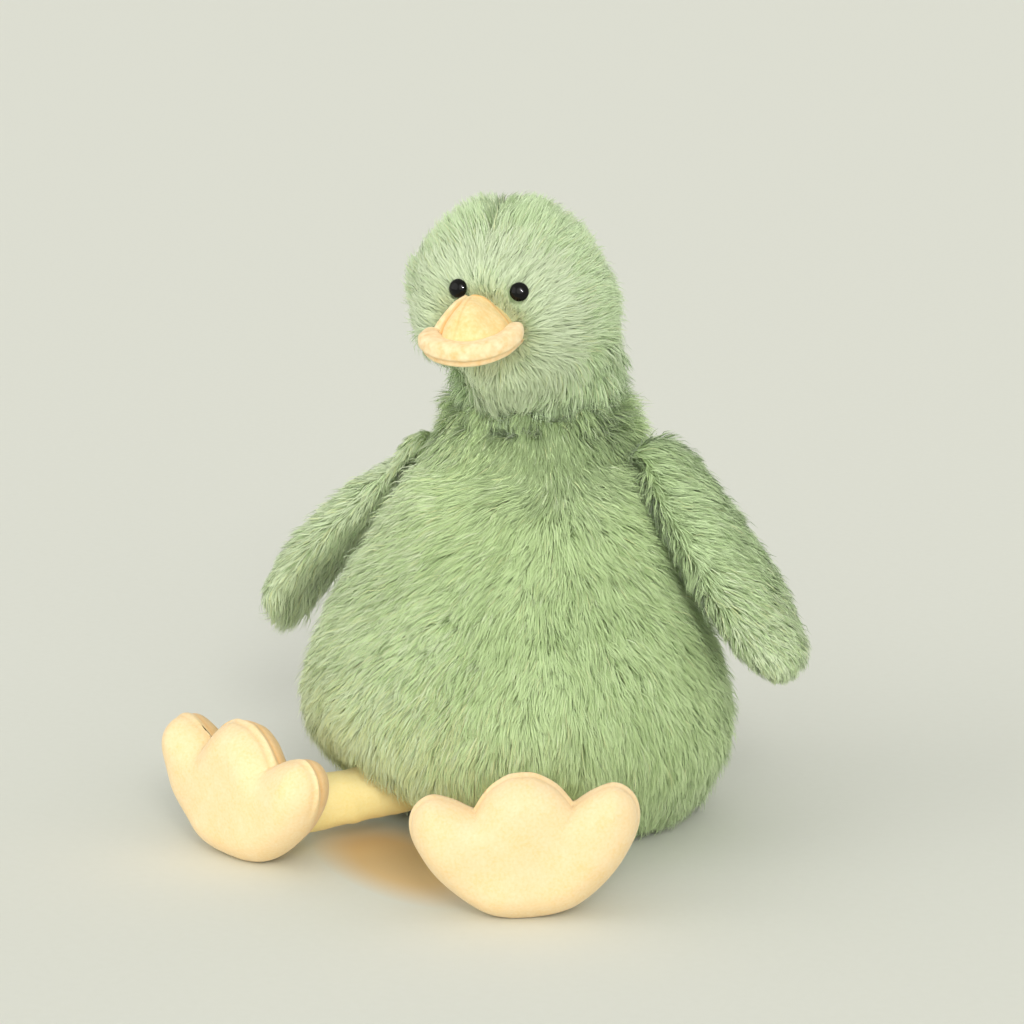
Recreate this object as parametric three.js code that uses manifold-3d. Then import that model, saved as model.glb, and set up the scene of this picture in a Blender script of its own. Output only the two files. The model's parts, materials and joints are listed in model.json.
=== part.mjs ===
// A seated plush duck: long-pile body, head and wings, with velvet beak, legs and webbed feet.
// Millimetres, +Z up. The origin is the centre of the flat base on which the toy sits.
// The duck looks along -Y, so its left side is +X.

import * as THREE from 'three';
import { mergeVertices } from 'three/addons/utils/BufferGeometryUtils.js';
import Module from 'manifold-3d';

const wasm = await Module();
wasm.setup();

// Clearances and cloth
const gap = 0.3;              // kept between neighbouring pieces
const bodyPile = 10;          // long plush on the body and head, pile and backing together
const wingPile = 7;           // the same plush on the wings, where it lies flatter
const tailPile = 7;
const velvet = 1.5;           // short velvet on the beak, legs and feet
const weldDistance = 0.001;   // points nearer than this are one point
const mergeDistance = 0.05;   // faces that lie nearer than this to one plane become one
const cutOverrun = 20;        // how far a cutting form runs past what it cuts

// Body
const neckHeight = 150;       // centre of the ball that the head turns on
const neckSetback = -2;       // y of that centre
const neckBall = 50;          // radius of the top of the body, under the head
const baseRadius = 66;
const bellyHalfWidth = 94.5;
const bellyHalfDepth = 85.5;
const bellyLean = -23;        // y of the widest ring's centre
const baseSeamHeight = 12;    // where the base panel is sewn in
const sideSeam = -3;          // y of the seam down each side
const neckHole = 30;          // radius of the hole that the neck filling stands in
const neckFloor = 170;        // height of the top of the body filling under the neck

// Pellet bag
const pelletBagRadius = 46;
const pelletBagHeight = 24;

// Tail, at the foot of the back seam
const tailLength = 30;
const tailRoot = 14;          // length of tail sunk in the back
const tailHalfWidth = 19;
const tailHalfDepth = 12;
const tailHeight = 46;
const tailRise = 32;          // degrees above level

// Head, in its own frame with the neck ball's centre as origin
const headTurn = 15;          // degrees to the duck's left at rest
const headTilt = 4.5;         // degrees over to the duck's right at rest
const headHeight = 120;       // crown above the neck ball's centre
const headHalfWidth = 45;
const headHalfDepth = 46.5;
const headLean = -22;         // y of the widest ring's centre

// Eyes
const eyeRadius = 4.1;
const eyeSide = 13.6;
const eyeHeight = 84.5;
const eyeSink = 2.6;          // depth of the eye's centre under the pile surface
const eyeRise = 20;           // degrees that each eye looks up
const shankRadius = 1.4;
const shankTail = 1.6;        // length of shank that sticks out behind the washer
const washerRadius = 6;
const washerThickness = 1.4;

// Beak, in a frame of its own on the face
const beakHeight = 68.5;
const beakSide = -3.5;        // how far its middle sits over to the duck's right
const beakReach = 44;         // how far in front of the head's own axis the frame lies
const beakRoll = -1.5;        // degrees that the beak hangs down on the duck's right
const domeHalfWidth = 17;
const domeLength = 24;
const domeHeight = 16;
const domeSetback = 2;
const domeDrop = -1;
const domeRim = -3;           // height of the dome's lower edge
const lipRadius = 5.8;
const lipHalfWidth = 18.6;    // to the middle of the roll
const lipReach = 20.4;
const lipDrop = -4.7;         // height of the roll at the front
const lipLift = 3.6;          // how much higher the roll's ends are
const lipRootReach = -4;      // where the roll's ends go into the fur
const lipTurn = 209;          // degrees that the roll goes round
const underHalfWidth = 18;
const underLength = 21;
const underDepth = 5;
const beakSocketDepth = 8.4;  // how deep the beak is set into the plush

// Wings
const leftShoulderHeight = 163;
const rightShoulderHeight = 156;
const shoulderHalfWidth = 48.5;
const shoulderSetback = 2;
const wingRoot = 5;           // radius of the rounded root edge that the wing swings on
const wingRootOuter = 9;      // the root edge's radius on the outer side
const wingRaise = 60;         // degrees that each wing can be raised
const wingRaiseStep = 12;     // the room for the raised wing is cut at steps this far apart
const wingLength = 117;
const wingHalfWidth = 28;
const wingOuterThickness = 17;
const wingInnerThickness = 9;
const leftWingSpread = 38.5;  // degrees away from hanging straight down
const rightWingSpread = 44;
const leftWingLean = 4.4;     // degrees forward
const rightWingLean = 8;

// Legs
const hipSide = 42;
const hipForward = 82;
const hipHeight = 20;
const legLength = 38;         // from the hip's centre to the ankle's
const leftLegSpread = 25;     // degrees away from straight ahead
const rightLegSpread = 45;
const legFall = 7;            // degrees below level
const hipBall = 11.5;
const legRadius = 12;
const ankleNeck = 11;
const ankleBall = 11.6;
const hipOpening = 4;         // radius of the hole at the leg cover's hip end
const ankleOpening = 7;
const gatherThickness = 1.5;
const gatherAngle = 30;       // degrees from the middle of the gathered cap to its edge
const hipSwingRoom = 20;      // degrees by which the hip's hollow opens out

// Feet, each in a frame of its own with the ankle's centre as origin
const footHalfWidth = 45;
const footHeight = 58;
const footHalfThickness = 14;
const footReach = 14.5;       // from the ankle's centre to the foot's middle plane
const footCentreHeight = 25;
const footRoll = 4;           // degrees that the outer toe is tipped up
const leftFootTwist = 5;      // degrees that each foot is turned outwards at the ankle
const rightFootTwist = -30;
const ankleRoomAngle = 22;    // degrees by which the hollow behind the foot opens out

// How finely each round form is divided
const torsoSides = 24;
const torsoInnerSides = 14;
const headSides = 20;
const headInnerSides = 14;
const ballSides = 20;
const wingSides = 14;
const wingInnerSides = 8;
const jointSides = 14;
const legSides = 14;
const gatherSides = 20;
const footSides = 30;
const footInnerSides = 16;
const smallSides = 10;
const lipRows = 16;
const arcSteps = 2;

// Colours
const plushGreen = 0xb3ca96;
const plushHead = 0xbccf9f;
const velvetYellow = 0xfeeab2;
const velvetBeak = 0xfee5a4;
const velvetLip = 0xfcedc4;
const fillingWhite = 0xf2f0ea;
const linenGrey = 0xd8d4c8;
const eyeBlack = 0x0b0b0c;
const washerWhite = 0xe8e8e4;
const plushRoughness = 1;
const velvetRoughness = 0.9;
const washerRoughness = 0.5;
const eyeRoughness = 0.08;

const degrees = THREE.MathUtils.degToRad;

// A closed geometry as a solid that can be cut and joined, right side out
function solid(geometry) {
  const bare = geometry.clone();
  bare.deleteAttribute('normal');
  bare.deleteAttribute('uv');
  const welded = mergeVertices(bare, weldDistance);
  const corners = welded.index.array;
  const triangles = [];
  for (let i = 0; i < corners.length; i += 3) {
    const [a, b, c] = corners.slice(i, i + 3);
    if (a !== b && b !== c && c !== a) triangles.push(a, b, c);
  }
  const vertProperties = welded.attributes.position.array;
  const made = new wasm.Manifold(new wasm.Mesh({
    numProp: 3, vertProperties, triVerts: new Uint32Array(triangles),
  }));
  if (made.volume() > 0) return made;
  return new wasm.Manifold(new wasm.Mesh({
    numProp: 3, vertProperties, triVerts: new Uint32Array(triangles.reverse()),
  }));
}

// A solid as a flat-shaded geometry
function surface(body) {
  const { vertProperties, triVerts } = body.getMesh();
  const geometry = new THREE.BufferGeometry();
  geometry.setAttribute('position', new THREE.BufferAttribute(vertProperties, 3));
  geometry.setIndex(new THREE.BufferAttribute(triVerts, 1));
  geometry.computeVertexNormals();
  return geometry;
}

// The largest piece of a solid, without the crumbs that a cut can leave
function largest(body) {
  return body.decompose().sort((a, b) => b.volume() - a.volume())[0];
}

function joined(...bodies) {
  return bodies.reduce((sum, body) => sum.add(body));
}

function piece(name, body, colour, roughness = plushRoughness) {
  const material = new THREE.MeshStandardMaterial({ color: colour, roughness, metalness: 0 });
  const mesh = new THREE.Mesh(surface(largest(body).simplify(mergeDistance)), material);
  mesh.name = name;
  return mesh;
}

// A ball's corners lie on its radius. This radius keeps the flats of a hollow outside it.
function hollowRadius(radius, sides) {
  return radius / Math.cos(Math.PI / sides) ** 2;
}

function ball(radius, sides) {
  return solid(new THREE.SphereGeometry(radius, sides, sides / 2));
}

function hollowBall(radius, sides) {
  return ball(hollowRadius(radius, sides), sides);
}

// A closed form with a pole at each end. place gives the point for a row, from the top pole
// down, and an angle that runs anticlockwise seen from the top pole.
function formed(sides, rows, place) {
  const geometry = new THREE.SphereGeometry(1, sides, rows);
  const { position, uv } = geometry.attributes;
  for (let i = 0; i < position.count; i += 1) {
    const row = Math.round((1 - uv.getY(i)) * rows);
    const column = Math.round(uv.getX(i) * sides) % sides;
    const point = place(row, column / sides * 2 * Math.PI);
    position.setXYZ(i, point.x, point.y, point.z);
  }
  return geometry;
}

// A form through rings of [height, centre's y, half-width, half-depth], from the top down.
// A flat end closes the last ring, and the first one too unless it is already a point.
function lofted(rings, sides) {
  const top = rings[0];
  const bottom = rings[rings.length - 1];
  const flat = (ring) => [ring[0], ring[1], 0, 0];
  const all = [...(top[2] > 0 ? [flat(top)] : []), ...rings, flat(bottom)];
  return formed(sides, all.length - 1, (row, angle) => {
    const [height, middle, halfWidth, halfDepth] = all[row];
    return new THREE.Vector3(halfWidth * Math.cos(angle), middle + halfDepth * Math.sin(angle), height);
  });
}

// The same form with every point moved along its own normal, inwards when distance is negative
function offset(geometry, distance) {
  const bare = geometry.clone();
  bare.deleteAttribute('normal');
  bare.deleteAttribute('uv');
  const moved = mergeVertices(bare, weldDistance);
  moved.computeVertexNormals();
  const { position, normal } = moved.attributes;
  for (let i = 0; i < position.count; i += 1) {
    position.setXYZ(
      i,
      position.getX(i) + distance * normal.getX(i),
      position.getY(i) + distance * normal.getY(i),
      position.getZ(i) + distance * normal.getZ(i),
    );
  }
  return moved;
}

// A solid given in one group's frame, as seen from another's
function carried(body, from, to) {
  from.updateWorldMatrix(true, false);
  to.updateWorldMatrix(true, false);
  const matrix = to.matrixWorld.clone().invert().multiply(from.matrixWorld);
  return body.transform(matrix.elements);
}

const duck = new THREE.Group();
duck.name = 'plush_duck';

// Body form: [height, centre, half-width, half-depth] as shares of the neck's height, the
// belly's lean, and its half-width and half-depth
const bodyShares = [
  [1.107, 0.357, 0.492, 0.526],
  [1.053, 0.375, 0.551, 0.567],
  [0.967, 0.446, 0.599, 0.591],
  [0.86, 0.607, 0.684, 0.62],
  [0.747, 0.768, 0.781, 0.708],
  [0.633, 0.893, 0.877, 0.807],
  [0.52, 0.964, 0.957, 0.901],
  [0.413, 1, 0.995, 0.971],
  [0.32, 0.946, 1, 1],
  [0.227, 0.75, 0.963, 0.988],
  [0.14, 0.464, 0.877, 0.936],
  [0.053, 0.2, 0.781, 0.854],
];
const bodyRows = [
  ...bodyShares.map(([height, middle, width, depth]) => [
    height * neckHeight, middle * bellyLean, width * bellyHalfWidth, depth * bellyHalfDepth,
  ]),
  [0, 0, baseRadius, baseRadius],
];

// The rows that are left when the form is moved in by the pile's thickness
const innerBodyRows = [...bodyRows.slice(1, -2), ...bodyRows.slice(-1)];

// The body with its round top, moved out or in by a distance
function bodySolid(sides, distance) {
  const rows = (distance < 0 ? innerBodyRows : bodyRows).map(([height, middle, halfWidth, halfDepth]) => [
    height, middle, halfWidth + distance, halfDepth + distance,
  ]);
  rows[0][0] += distance;
  rows[rows.length - 1][0] -= distance;
  const loft = solid(lofted(rows, sides));
  const roundTop = distance > 0 ? hollowBall : ball;
  const top = roundTop(neckBall + distance, ballSides);
  return loft.add(top.translate([0, neckSetback, neckHeight]));
}

// A round column about the neck, from a height upwards
function neckColumn(radius, from) {
  const height = neckHeight + neckBall + cutOverrun - from;
  const column = new THREE.CylinderGeometry(radius, radius, height, ballSides);
  column.rotateX(Math.PI / 2);
  column.translate(0, neckSetback, from + height / 2);
  return solid(column);
}

// Frames that the moving parts hang from
const sides = [['left', 1], ['right', -1]];
const shoulderHeight = { left: leftShoulderHeight, right: rightShoulderHeight };
const wingSpread = { left: leftWingSpread, right: rightWingSpread };
const wingLean = { left: leftWingLean, right: rightWingLean };
const legSpread = { left: leftLegSpread, right: rightLegSpread };
const footTwist = { left: leftFootTwist, right: rightFootTwist };

const head = new THREE.Group();
head.position.set(0, neckSetback, neckHeight);
head.rotation.set(0, degrees(-headTilt), degrees(headTurn), 'ZYX');
duck.add(head);

const wingFrames = {};
const legFrames = {};
const footFrames = {};
for (const [side, sign] of sides) {
  const wing = new THREE.Group();
  wing.position.set(sign * shoulderHalfWidth, shoulderSetback, shoulderHeight[side]);
  wing.rotation.set(degrees(-wingLean[side]), degrees(-sign * wingSpread[side]), 0, 'YXZ');
  duck.add(wing);
  wingFrames[side] = wing;

  const leg = new THREE.Group();
  leg.position.set(sign * hipSide, -hipForward, hipHeight);
  leg.rotation.set(degrees(legFall), 0, degrees(sign * legSpread[side]), 'ZXY');
  duck.add(leg);
  legFrames[side] = leg;

  const foot = new THREE.Group();
  foot.position.set(0, -legLength, 0);
  foot.rotation.set(degrees(-legFall), 0, degrees(sign * footTwist[side]));
  leg.add(foot);
  footFrames[side] = foot;
}

// The groove in the body's side that the wing's root edge turns in, as a bar along the wing's Y
function rootBar(radius) {
  const halfLength = wingHalfWidth;
  return solid(new THREE.CylinderGeometry(radius, radius, 2 * halfLength, jointSides));
}

// The room for the thick outer half of a wing's root while the wing is raised, in the wing's frame
function raisedRoot(sign) {
  const half = new THREE.CylinderGeometry(1, 1, 2 * wingHalfWidth, jointSides);
  half.scale(
    hollowRadius(wingRootOuter + gap, jointSides), 1, hollowRadius(wingRoot + gap, jointSides),
  );
  const outer = solid(half).trimByPlane([sign, 0, 0], 0);
  const turns = [];
  for (let turn = wingRaiseStep; turn <= wingRaise; turn += wingRaiseStep) {
    turns.push(outer.rotate([0, -sign * turn, 0]));
  }
  return joined(...turns);
}

// The hollow for a leg's round end, in the leg's frame: a ball with a funnel that opens out
// round the leg, which runs off to +Y or to -Y
function jointHollow(ballRadius, opening, way) {
  const radius = hollowRadius(ballRadius, jointSides);
  const mouth = radius + cutOverrun * Math.tan(degrees(opening));
  const [above, below] = way > 0 ? [mouth, radius] : [radius, mouth];
  const funnel = new THREE.CylinderGeometry(above, below, cutOverrun, jointSides);
  funnel.translate(0, way * cutOverrun / 2, 0);
  return joined(ball(radius, jointSides), solid(funnel));
}

// Body covers, filling and pellet bag
function addBody() {
  const limbRoom = joined(...sides.flatMap(([side, sign]) => [
    carried(rootBar(hollowRadius(wingRoot + gap, jointSides)), wingFrames[side], duck),
    carried(raisedRoot(sign), wingFrames[side], duck),
    carried(jointHollow(hipBall + gatherThickness + 2 * gap, hipSwingRoom, -1), legFrames[side], duck),
  ]));
  const skin = bodySolid(torsoSides, 0)
    .subtract(bodySolid(torsoInnerSides, -bodyPile))
    .subtract(neckColumn(hollowRadius(neckHole, ballSides), neckHeight))
    .subtract(limbRoom);
  const above = skin.trimByPlane([0, 0, 1], baseSeamHeight + gap);
  const back = above.trimByPlane([0, 1, 0], sideSeam + gap);
  duck.add(
    piece('torso_front_panel', above.trimByPlane([0, -1, 0], -sideSeam), plushGreen),
    piece('torso_back_left_panel', back.trimByPlane([1, 0, 0], gap / 2), plushGreen),
    piece('torso_back_right_panel', back.trimByPlane([-1, 0, 0], gap / 2), plushGreen),
    piece('torso_base_panel', skin.trimByPlane([0, 0, -1], -baseSeamHeight), plushGreen),
  );

  const bagFloor = bodyPile + gap;
  const bag = (grow) => {
    const form = new THREE.SphereGeometry(1, torsoInnerSides, torsoInnerSides / 2);
    form.scale(pelletBagRadius + grow, pelletBagHeight + grow, pelletBagRadius + grow);
    form.rotateX(Math.PI / 2);
    form.translate(0, 0, bagFloor);
    return solid(form);
  };
  const pelletBag = bag(0).trimByPlane([0, 0, 1], bagFloor);
  duck.add(piece('pellet_bag', pelletBag, linenGrey));

  const filling = bodySolid(torsoInnerSides, -bodyPile - gap)
    .trimByPlane([0, 0, -1], -neckFloor + gap)
    .subtract(bag(gap))
    .subtract(limbRoom);
  duck.add(piece('torso_stuffing', filling, fillingWhite));
}
addBody();

// Neck filling, which stands in the hole at the top of the body
const neckFilling = neckColumn(neckHole - gap, neckFloor)
  .intersect(ball(neckBall, ballSides).translate([0, neckSetback, neckHeight]));
duck.add(piece('neck_stuffing', neckFilling, fillingWhite));

// Tail
function addTail() {
  const tail = new THREE.Group();
  const back = bodyRows.find(([height]) => height < tailHeight + gap);
  tail.position.set(0, back[1] + back[3], tailHeight);
  tail.rotation.x = degrees(tailRise - 90);
  duck.add(tail);
  // [distance along the tail, half-width, half-depth] as shares of its sizes
  const tailShares = [[1, 0, 0], [0.94, 0.34, 0.4], [0.75, 0.66, 0.72], [0.4, 0.95, 0.95], [0, 1, 1]];
  const form = (shrink) => {
    const rings = tailShares.map(([along, width, depth]) => [
      along * (tailLength - shrink), 0, width * (tailHalfWidth - shrink), depth * (tailHalfDepth - shrink),
    ]);
    const root = rings[rings.length - 1];
    return solid(lofted([...rings, [-tailRoot, ...root.slice(1)]], wingSides));
  };
  const body = carried(bodySolid(torsoSides, gap), duck, tail);
  tail.add(
    piece('tail_cover', form(0).subtract(form(tailPile)).subtract(body), plushGreen),
    piece('tail_stuffing', form(tailPile + gap).subtract(body), fillingWhite),
  );
}
addTail();

// Head form: [height, centre, half-width, half-depth] as shares of the crown's height, the
// head's lean, and its half-width and half-depth
const headShares = [
  [1, 0.82, 0, 0],
  [0.977, 0.82, 0.27, 0.26],
  [0.92, 0.84, 0.5, 0.49],
  [0.828, 0.92, 0.74, 0.73],
  [0.73, 1, 0.895, 0.89],
  [0.623, 1, 0.98, 0.98],
  [0.516, 0.92, 1, 1],
  [0.41, 0.684, 0.96, 0.968],
  [0.311, 0.368, 0.865, 0.88],
  [0.225, 0.13, 0.85, 0.85],
  [0.148, 0.03, 0.86, 0.86],
];
const headRows = headShares.map(([height, middle, width, depth]) => [
  height * headHeight, middle * headLean, width * headHalfWidth, depth * headHalfDepth,
]);

function headSolid(sideCount, distance) {
  const loft = solid(offset(lofted(headRows, sideCount), distance));
  return loft.subtract(hollowBall(neckBall + gap, ballSides));
}

// The point of the head's surface in front, at a height and a distance to the side
function facePoint(side, height) {
  const lower = headRows.findIndex((row) => row[0] < height);
  const share = (height - headRows[lower][0]) / (headRows[lower - 1][0] - headRows[lower][0]);
  const [, middle, halfWidth, halfDepth] = headRows[lower].map(
    (value, column) => THREE.MathUtils.lerp(value, headRows[lower - 1][column], share),
  );
  return new THREE.Vector3(side, middle - halfDepth * Math.sqrt(1 - (side / halfWidth) ** 2), height);
}

// Beak forms, each grown by a distance
const beak = new THREE.Group();
beak.position.set(beakSide, headLean - beakReach, beakHeight);
beak.rotation.y = degrees(-beakRoll);
head.add(beak);

function scaledBall(halfWidth, halfLength, halfHeight, sideCount) {
  const form = new THREE.SphereGeometry(1, sideCount, sideCount / 2);
  form.rotateX(Math.PI / 2);
  form.scale(halfWidth, halfLength, halfHeight);
  return solid(form);
}

function dome(grow) {
  return scaledBall(domeHalfWidth + grow, domeLength + grow, domeHeight + grow, jointSides)
    .translate([0, domeSetback, domeDrop]);
}

// The rolled lip follows half an oval from one side of the face to the other
const lipEndRoundness = 0.22; // the lower, the blunter the roll's ends
const lipAheadShare = 0.01;   // how far ahead and behind the roll's direction is taken

function lip(grow) {
  const path = (share) => {
    const angle = degrees(THREE.MathUtils.lerp(-lipTurn / 2, lipTurn / 2, share));
    const reach = lipRootReach - (lipReach + lipRootReach) * Math.cos(angle);
    const lift = lipLift * Math.sin(angle) ** 2;
    return new THREE.Vector3(lipHalfWidth * Math.sin(angle), reach, lipDrop + lift);
  };
  return solid(formed(smallSides, lipRows, (row, angle) => {
    const share = row / lipRows;
    const full = row % lipRows === 0 ? 0 : Math.sin(Math.PI * share) ** lipEndRoundness;
    const radius = (lipRadius + grow) * full;
    const ahead = path(share + lipAheadShare).sub(path(share - lipAheadShare)).normalize();
    const up = new THREE.Vector3(0, 0, 1);
    const out = new THREE.Vector3().crossVectors(ahead, up).normalize();
    const over = new THREE.Vector3().crossVectors(out, ahead);
    return path(share)
      .addScaledVector(out, radius * Math.cos(angle))
      .addScaledVector(over, radius * Math.sin(angle));
  }));
}

function underBeak(grow) {
  return scaledBall(underHalfWidth + grow, underLength + grow, underDepth + grow, jointSides)
    .translate([0, 0, domeRim - gap]);
}

// Head covers, filling, eyes and beak
function addHead() {
  const core = headSolid(headSides, -beakSocketDepth);
  let beakRoom = carried(core, head, beak).add(lip(gap));
  const socket = joined(dome(gap), lip(gap), underBeak(gap)).subtract(
    carried(headSolid(headSides, -beakSocketDepth - gap), head, beak),
  );

  let skin = headSolid(headSides, 0)
    .subtract(headSolid(headInnerSides, -bodyPile))
    .subtract(carried(socket, beak, head));
  let filling = headSolid(headInnerSides, -bodyPile - gap);

  const eyeShankLength = bodyPile - eyeSink + washerThickness + shankTail;
  const lathe = (points) => solid(new THREE.LatheGeometry(
    points.map(([x, y]) => new THREE.Vector2(x, y)), smallSides,
  ));
  const shank = (grow) => lathe([
    [0, -eyeShankLength - grow], [shankRadius + grow, -eyeShankLength - grow],
    [shankRadius + grow, 0], [0, 0],
  ]);
  const eye = (grow) => joined(ball(eyeRadius + grow, smallSides), shank(grow));
  const washerTop = -(bodyPile - eyeSink) - gap;
  const washer = (grow) => {
    const top = washerTop + grow;
    const bottom = washerTop - washerThickness - grow;
    return lathe([[0, bottom], [washerRadius + grow, bottom], [washerRadius + grow, top], [0, top]]);
  };

  for (const [side, sign] of sides) {
    const frame = new THREE.Group();
    const surfacePoint = facePoint(sign * eyeSide, eyeHeight);
    const centre = new THREE.Vector3(0, headLean, eyeHeight);
    const outward = surfacePoint.clone().sub(centre).normalize();
    outward.z = Math.tan(degrees(eyeRise));
    outward.normalize();
    frame.position.copy(surfacePoint).addScaledVector(outward, -eyeSink);
    frame.quaternion.setFromUnitVectors(new THREE.Vector3(0, 1, 0), outward);
    head.add(frame);
    frame.add(
      piece(`${side}_eye`, eye(0), eyeBlack, eyeRoughness),
      piece(`${side}_eye_washer`, washer(0).subtract(shank(gap)), washerWhite, washerRoughness),
    );
    const eyeRoom = joined(eye(gap), washer(gap));
    skin = skin.subtract(carried(eyeRoom, frame, head));
    filling = filling.subtract(carried(eyeRoom, frame, head));
    beakRoom = beakRoom.add(carried(eyeRoom, frame, beak));
  }

  const front = skin.trimByPlane([0, -1, 0], 0);
  head.add(
    piece('head_left_panel', front.trimByPlane([1, 0, 0], gap / 2), plushHead),
    piece('head_right_panel', front.trimByPlane([-1, 0, 0], gap / 2), plushHead),
    piece('head_back_panel', skin.trimByPlane([0, 1, 0], gap), plushHead),
    piece('head_stuffing', filling, fillingWhite),
  );

  const upper = dome(0).subtract(dome(-velvet)).trimByPlane([0, 0, 1], domeRim);
  const padding = dome(-velvet - gap).trimByPlane([0, 0, 1], domeRim);
  const under = underBeak(0).trimByPlane([0, 0, -1], -domeRim + gap);
  beak.add(
    piece('beak_upper_cover', upper.subtract(beakRoom), velvetBeak),
    piece('beak_stuffing', padding.subtract(beakRoom), fillingWhite),
    piece('beak_under_cover', under.subtract(beakRoom), velvetLip),
    piece('beak_lip_cover', lip(0).subtract(carried(core, head, beak)), velvetLip),
  );
}
addHead();

// Wing form: [distance from the hinge, half-width, thickness] as shares of its sizes, after the
// rounded root edge
const wingShares = [
  [0.08, 0.8, 0.68],
  [0.22, 0.88, 0.84],
  [0.4, 0.96, 0.96],
  [0.6, 1, 1],
  [0.79, 0.97, 0.95],
  [0.92, 0.83, 0.82],
  [0.98, 0.54, 0.54],
  [1, 0, 0],
];
const rootWidthShare = 0.72;
const rootTipWidthShare = 0.5;
const rootTipShare = 0.7;     // how far round the root edge its first ring lies

function wingForm(sign, shrink, sideCount) {
  const halfWidth = wingHalfWidth - shrink;
  const rings = wingShares.map(([along, width, thickness]) => [
    THREE.MathUtils.lerp(shrink, wingLength - shrink, along), width * halfWidth,
    thickness * (wingOuterThickness - shrink), thickness * (wingInnerThickness - shrink),
  ]);
  if (shrink === 0) {
    const edge = wingRoot * Math.sqrt(1 - rootTipShare ** 2);
    rings.unshift(
      [-wingRoot, 0, 0, 0],
      [-wingRoot * rootTipShare, rootTipWidthShare * halfWidth, edge * wingRootOuter / wingRoot, edge],
      [0, rootWidthShare * halfWidth, wingRootOuter, wingRoot],
    );
  } else {
    rings.unshift([rings[0][0], 0, 0, 0]);
  }
  return solid(formed(sideCount, rings.length - 1, (row, angle) => {
    const [along, width, outer, inner] = rings[row];
    const across = Math.cos(angle);
    const thickness = across * sign > 0 ? outer : inner;
    return new THREE.Vector3(thickness * across, width * Math.sin(angle), -along);
  }));
}

function addWing(side, sign) {
  const wing = wingFrames[side];
  const body = carried(bodySolid(torsoSides, gap), duck, wing).subtract(rootBar(wingRoot));
  const skin = wingForm(sign, 0, wingSides)
    .subtract(wingForm(sign, wingPile, wingInnerSides))
    .subtract(body);
  wing.add(
    piece(`${side}_wing_outer_panel`, skin.trimByPlane([sign, 0, 0], gap / 2), plushGreen),
    piece(`${side}_wing_inner_panel`, skin.trimByPlane([-sign, 0, 0], gap / 2), plushGreen),
    piece(`${side}_wing_stuffing`,
      wingForm(sign, wingPile + gap, wingInnerSides).subtract(body), fillingWhite),
  );
}

// Leg between its round ends: [distance from the hip's centre as a share of the length, radius]
const legShares = [[0.2, hipBall], [0.42, legRadius], [0.64, legRadius], [0.84, ankleNeck]];

// Leg profile in the lathe's plane, from the hip's end to the ankle's, for a leg thinner by
// shrink all round and open at each end
function legProfile(shrink) {
  const points = [];
  const arc = (radius, centre, from, to) => {
    for (let step = 0; step <= arcSteps; step += 1) {
      const angle = THREE.MathUtils.lerp(from, to, step / arcSteps);
      points.push(new THREE.Vector2(radius * Math.cos(angle), centre + radius * Math.sin(angle)));
    }
  };
  const hip = hipBall - shrink;
  const ankle = ankleBall - shrink;
  arc(hip, 0, Math.acos(hipOpening / hip), 0);
  points.push(...legShares.map(([along, radius]) => new THREE.Vector2(radius - shrink, -along * legLength)));
  arc(ankle, -legLength, 0, -Math.acos(ankleOpening / ankle));
  return points;
}

function addLeg(side) {
  const leg = legFrames[side];
  const outer = legProfile(0);
  const inner = legProfile(velvet).reverse();
  const cover = new THREE.LatheGeometry([...outer, ...inner, outer[0]], legSides);
  const core = legProfile(velvet + gap);
  const onAxis = ({ y }) => new THREE.Vector2(0, y);
  const filling = new THREE.LatheGeometry([onAxis(core[0]), ...core, onAxis(core.at(-1))], legSides);
  leg.add(
    piece(`${side}_leg_cover`, solid(cover), velvetYellow, velvetRoughness),
    piece(`${side}_leg_stuffing`, solid(filling), fillingWhite),
  );

  // The gathered end of the leg, caught in the body's seam: a cap on the leg's round end
  const spread = cutOverrun * Math.tan(degrees(gatherAngle));
  const keep = new THREE.CylinderGeometry(spread, 0, cutOverrun, gatherSides);
  keep.translate(0, cutOverrun / 2, 0);
  const cap = ball(hipBall + gap + gatherThickness, gatherSides)
    .subtract(hollowBall(hipBall + gap, gatherSides))
    .intersect(solid(keep));
  leg.add(piece(`${side}_hip_gather`, cap, velvetYellow, velvetRoughness));
}

// Foot outline from the middle of one edge over the toes, as [sideways, height] shares of the
// half-width and height. The same points mirrored make the other half.
const footShares = [
  [0, -0.035],
  [0.2, -0.03],
  [0.42, 0.05],
  [0.66, 0.2],
  [0.86, 0.38],
  [0.985, 0.6],
  [0.97, 0.78],
  [0.82, 0.885],
  [0.62, 0.85],
  [0.43, 0.765],
  [0.3, 0.9],
  [0.13, 0.985],
  [0, 1],
];

const creaseShare = 0.5;      // how much thinner the foot is between its toes
const creaseFade = 0.7;       // how fast the creases between the toes die out inwards
const roundShare = 0.8;       // the middle's size, towards which the inner rings go
const puffPower = 3;          // how late the foot's face turns down to its edge

// Distance of the outline from the foot's centre in a direction
function footRadius(angle) {
  const points = footShares.map(([sideways, height]) => [
    sideways * footHalfWidth, height * footHeight - footCentreHeight,
  ]);
  const direction = [Math.abs(Math.cos(angle)), Math.sin(angle)];
  for (let i = 0; i < points.length - 1; i += 1) {
    const [[x0, z0], [x1, z1]] = [points[i], points[i + 1]];
    const side0 = direction[0] * z0 - direction[1] * x0;
    const side1 = direction[0] * z1 - direction[1] * x1;
    if (side0 <= 0 && side1 >= 0 && side1 > side0) {
      const share = -side0 / (side1 - side0);
      return Math.hypot(THREE.MathUtils.lerp(x0, x1, share), THREE.MathUtils.lerp(z0, z1, share));
    }
  }
  return Math.hypot(...points[0]);
}

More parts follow.
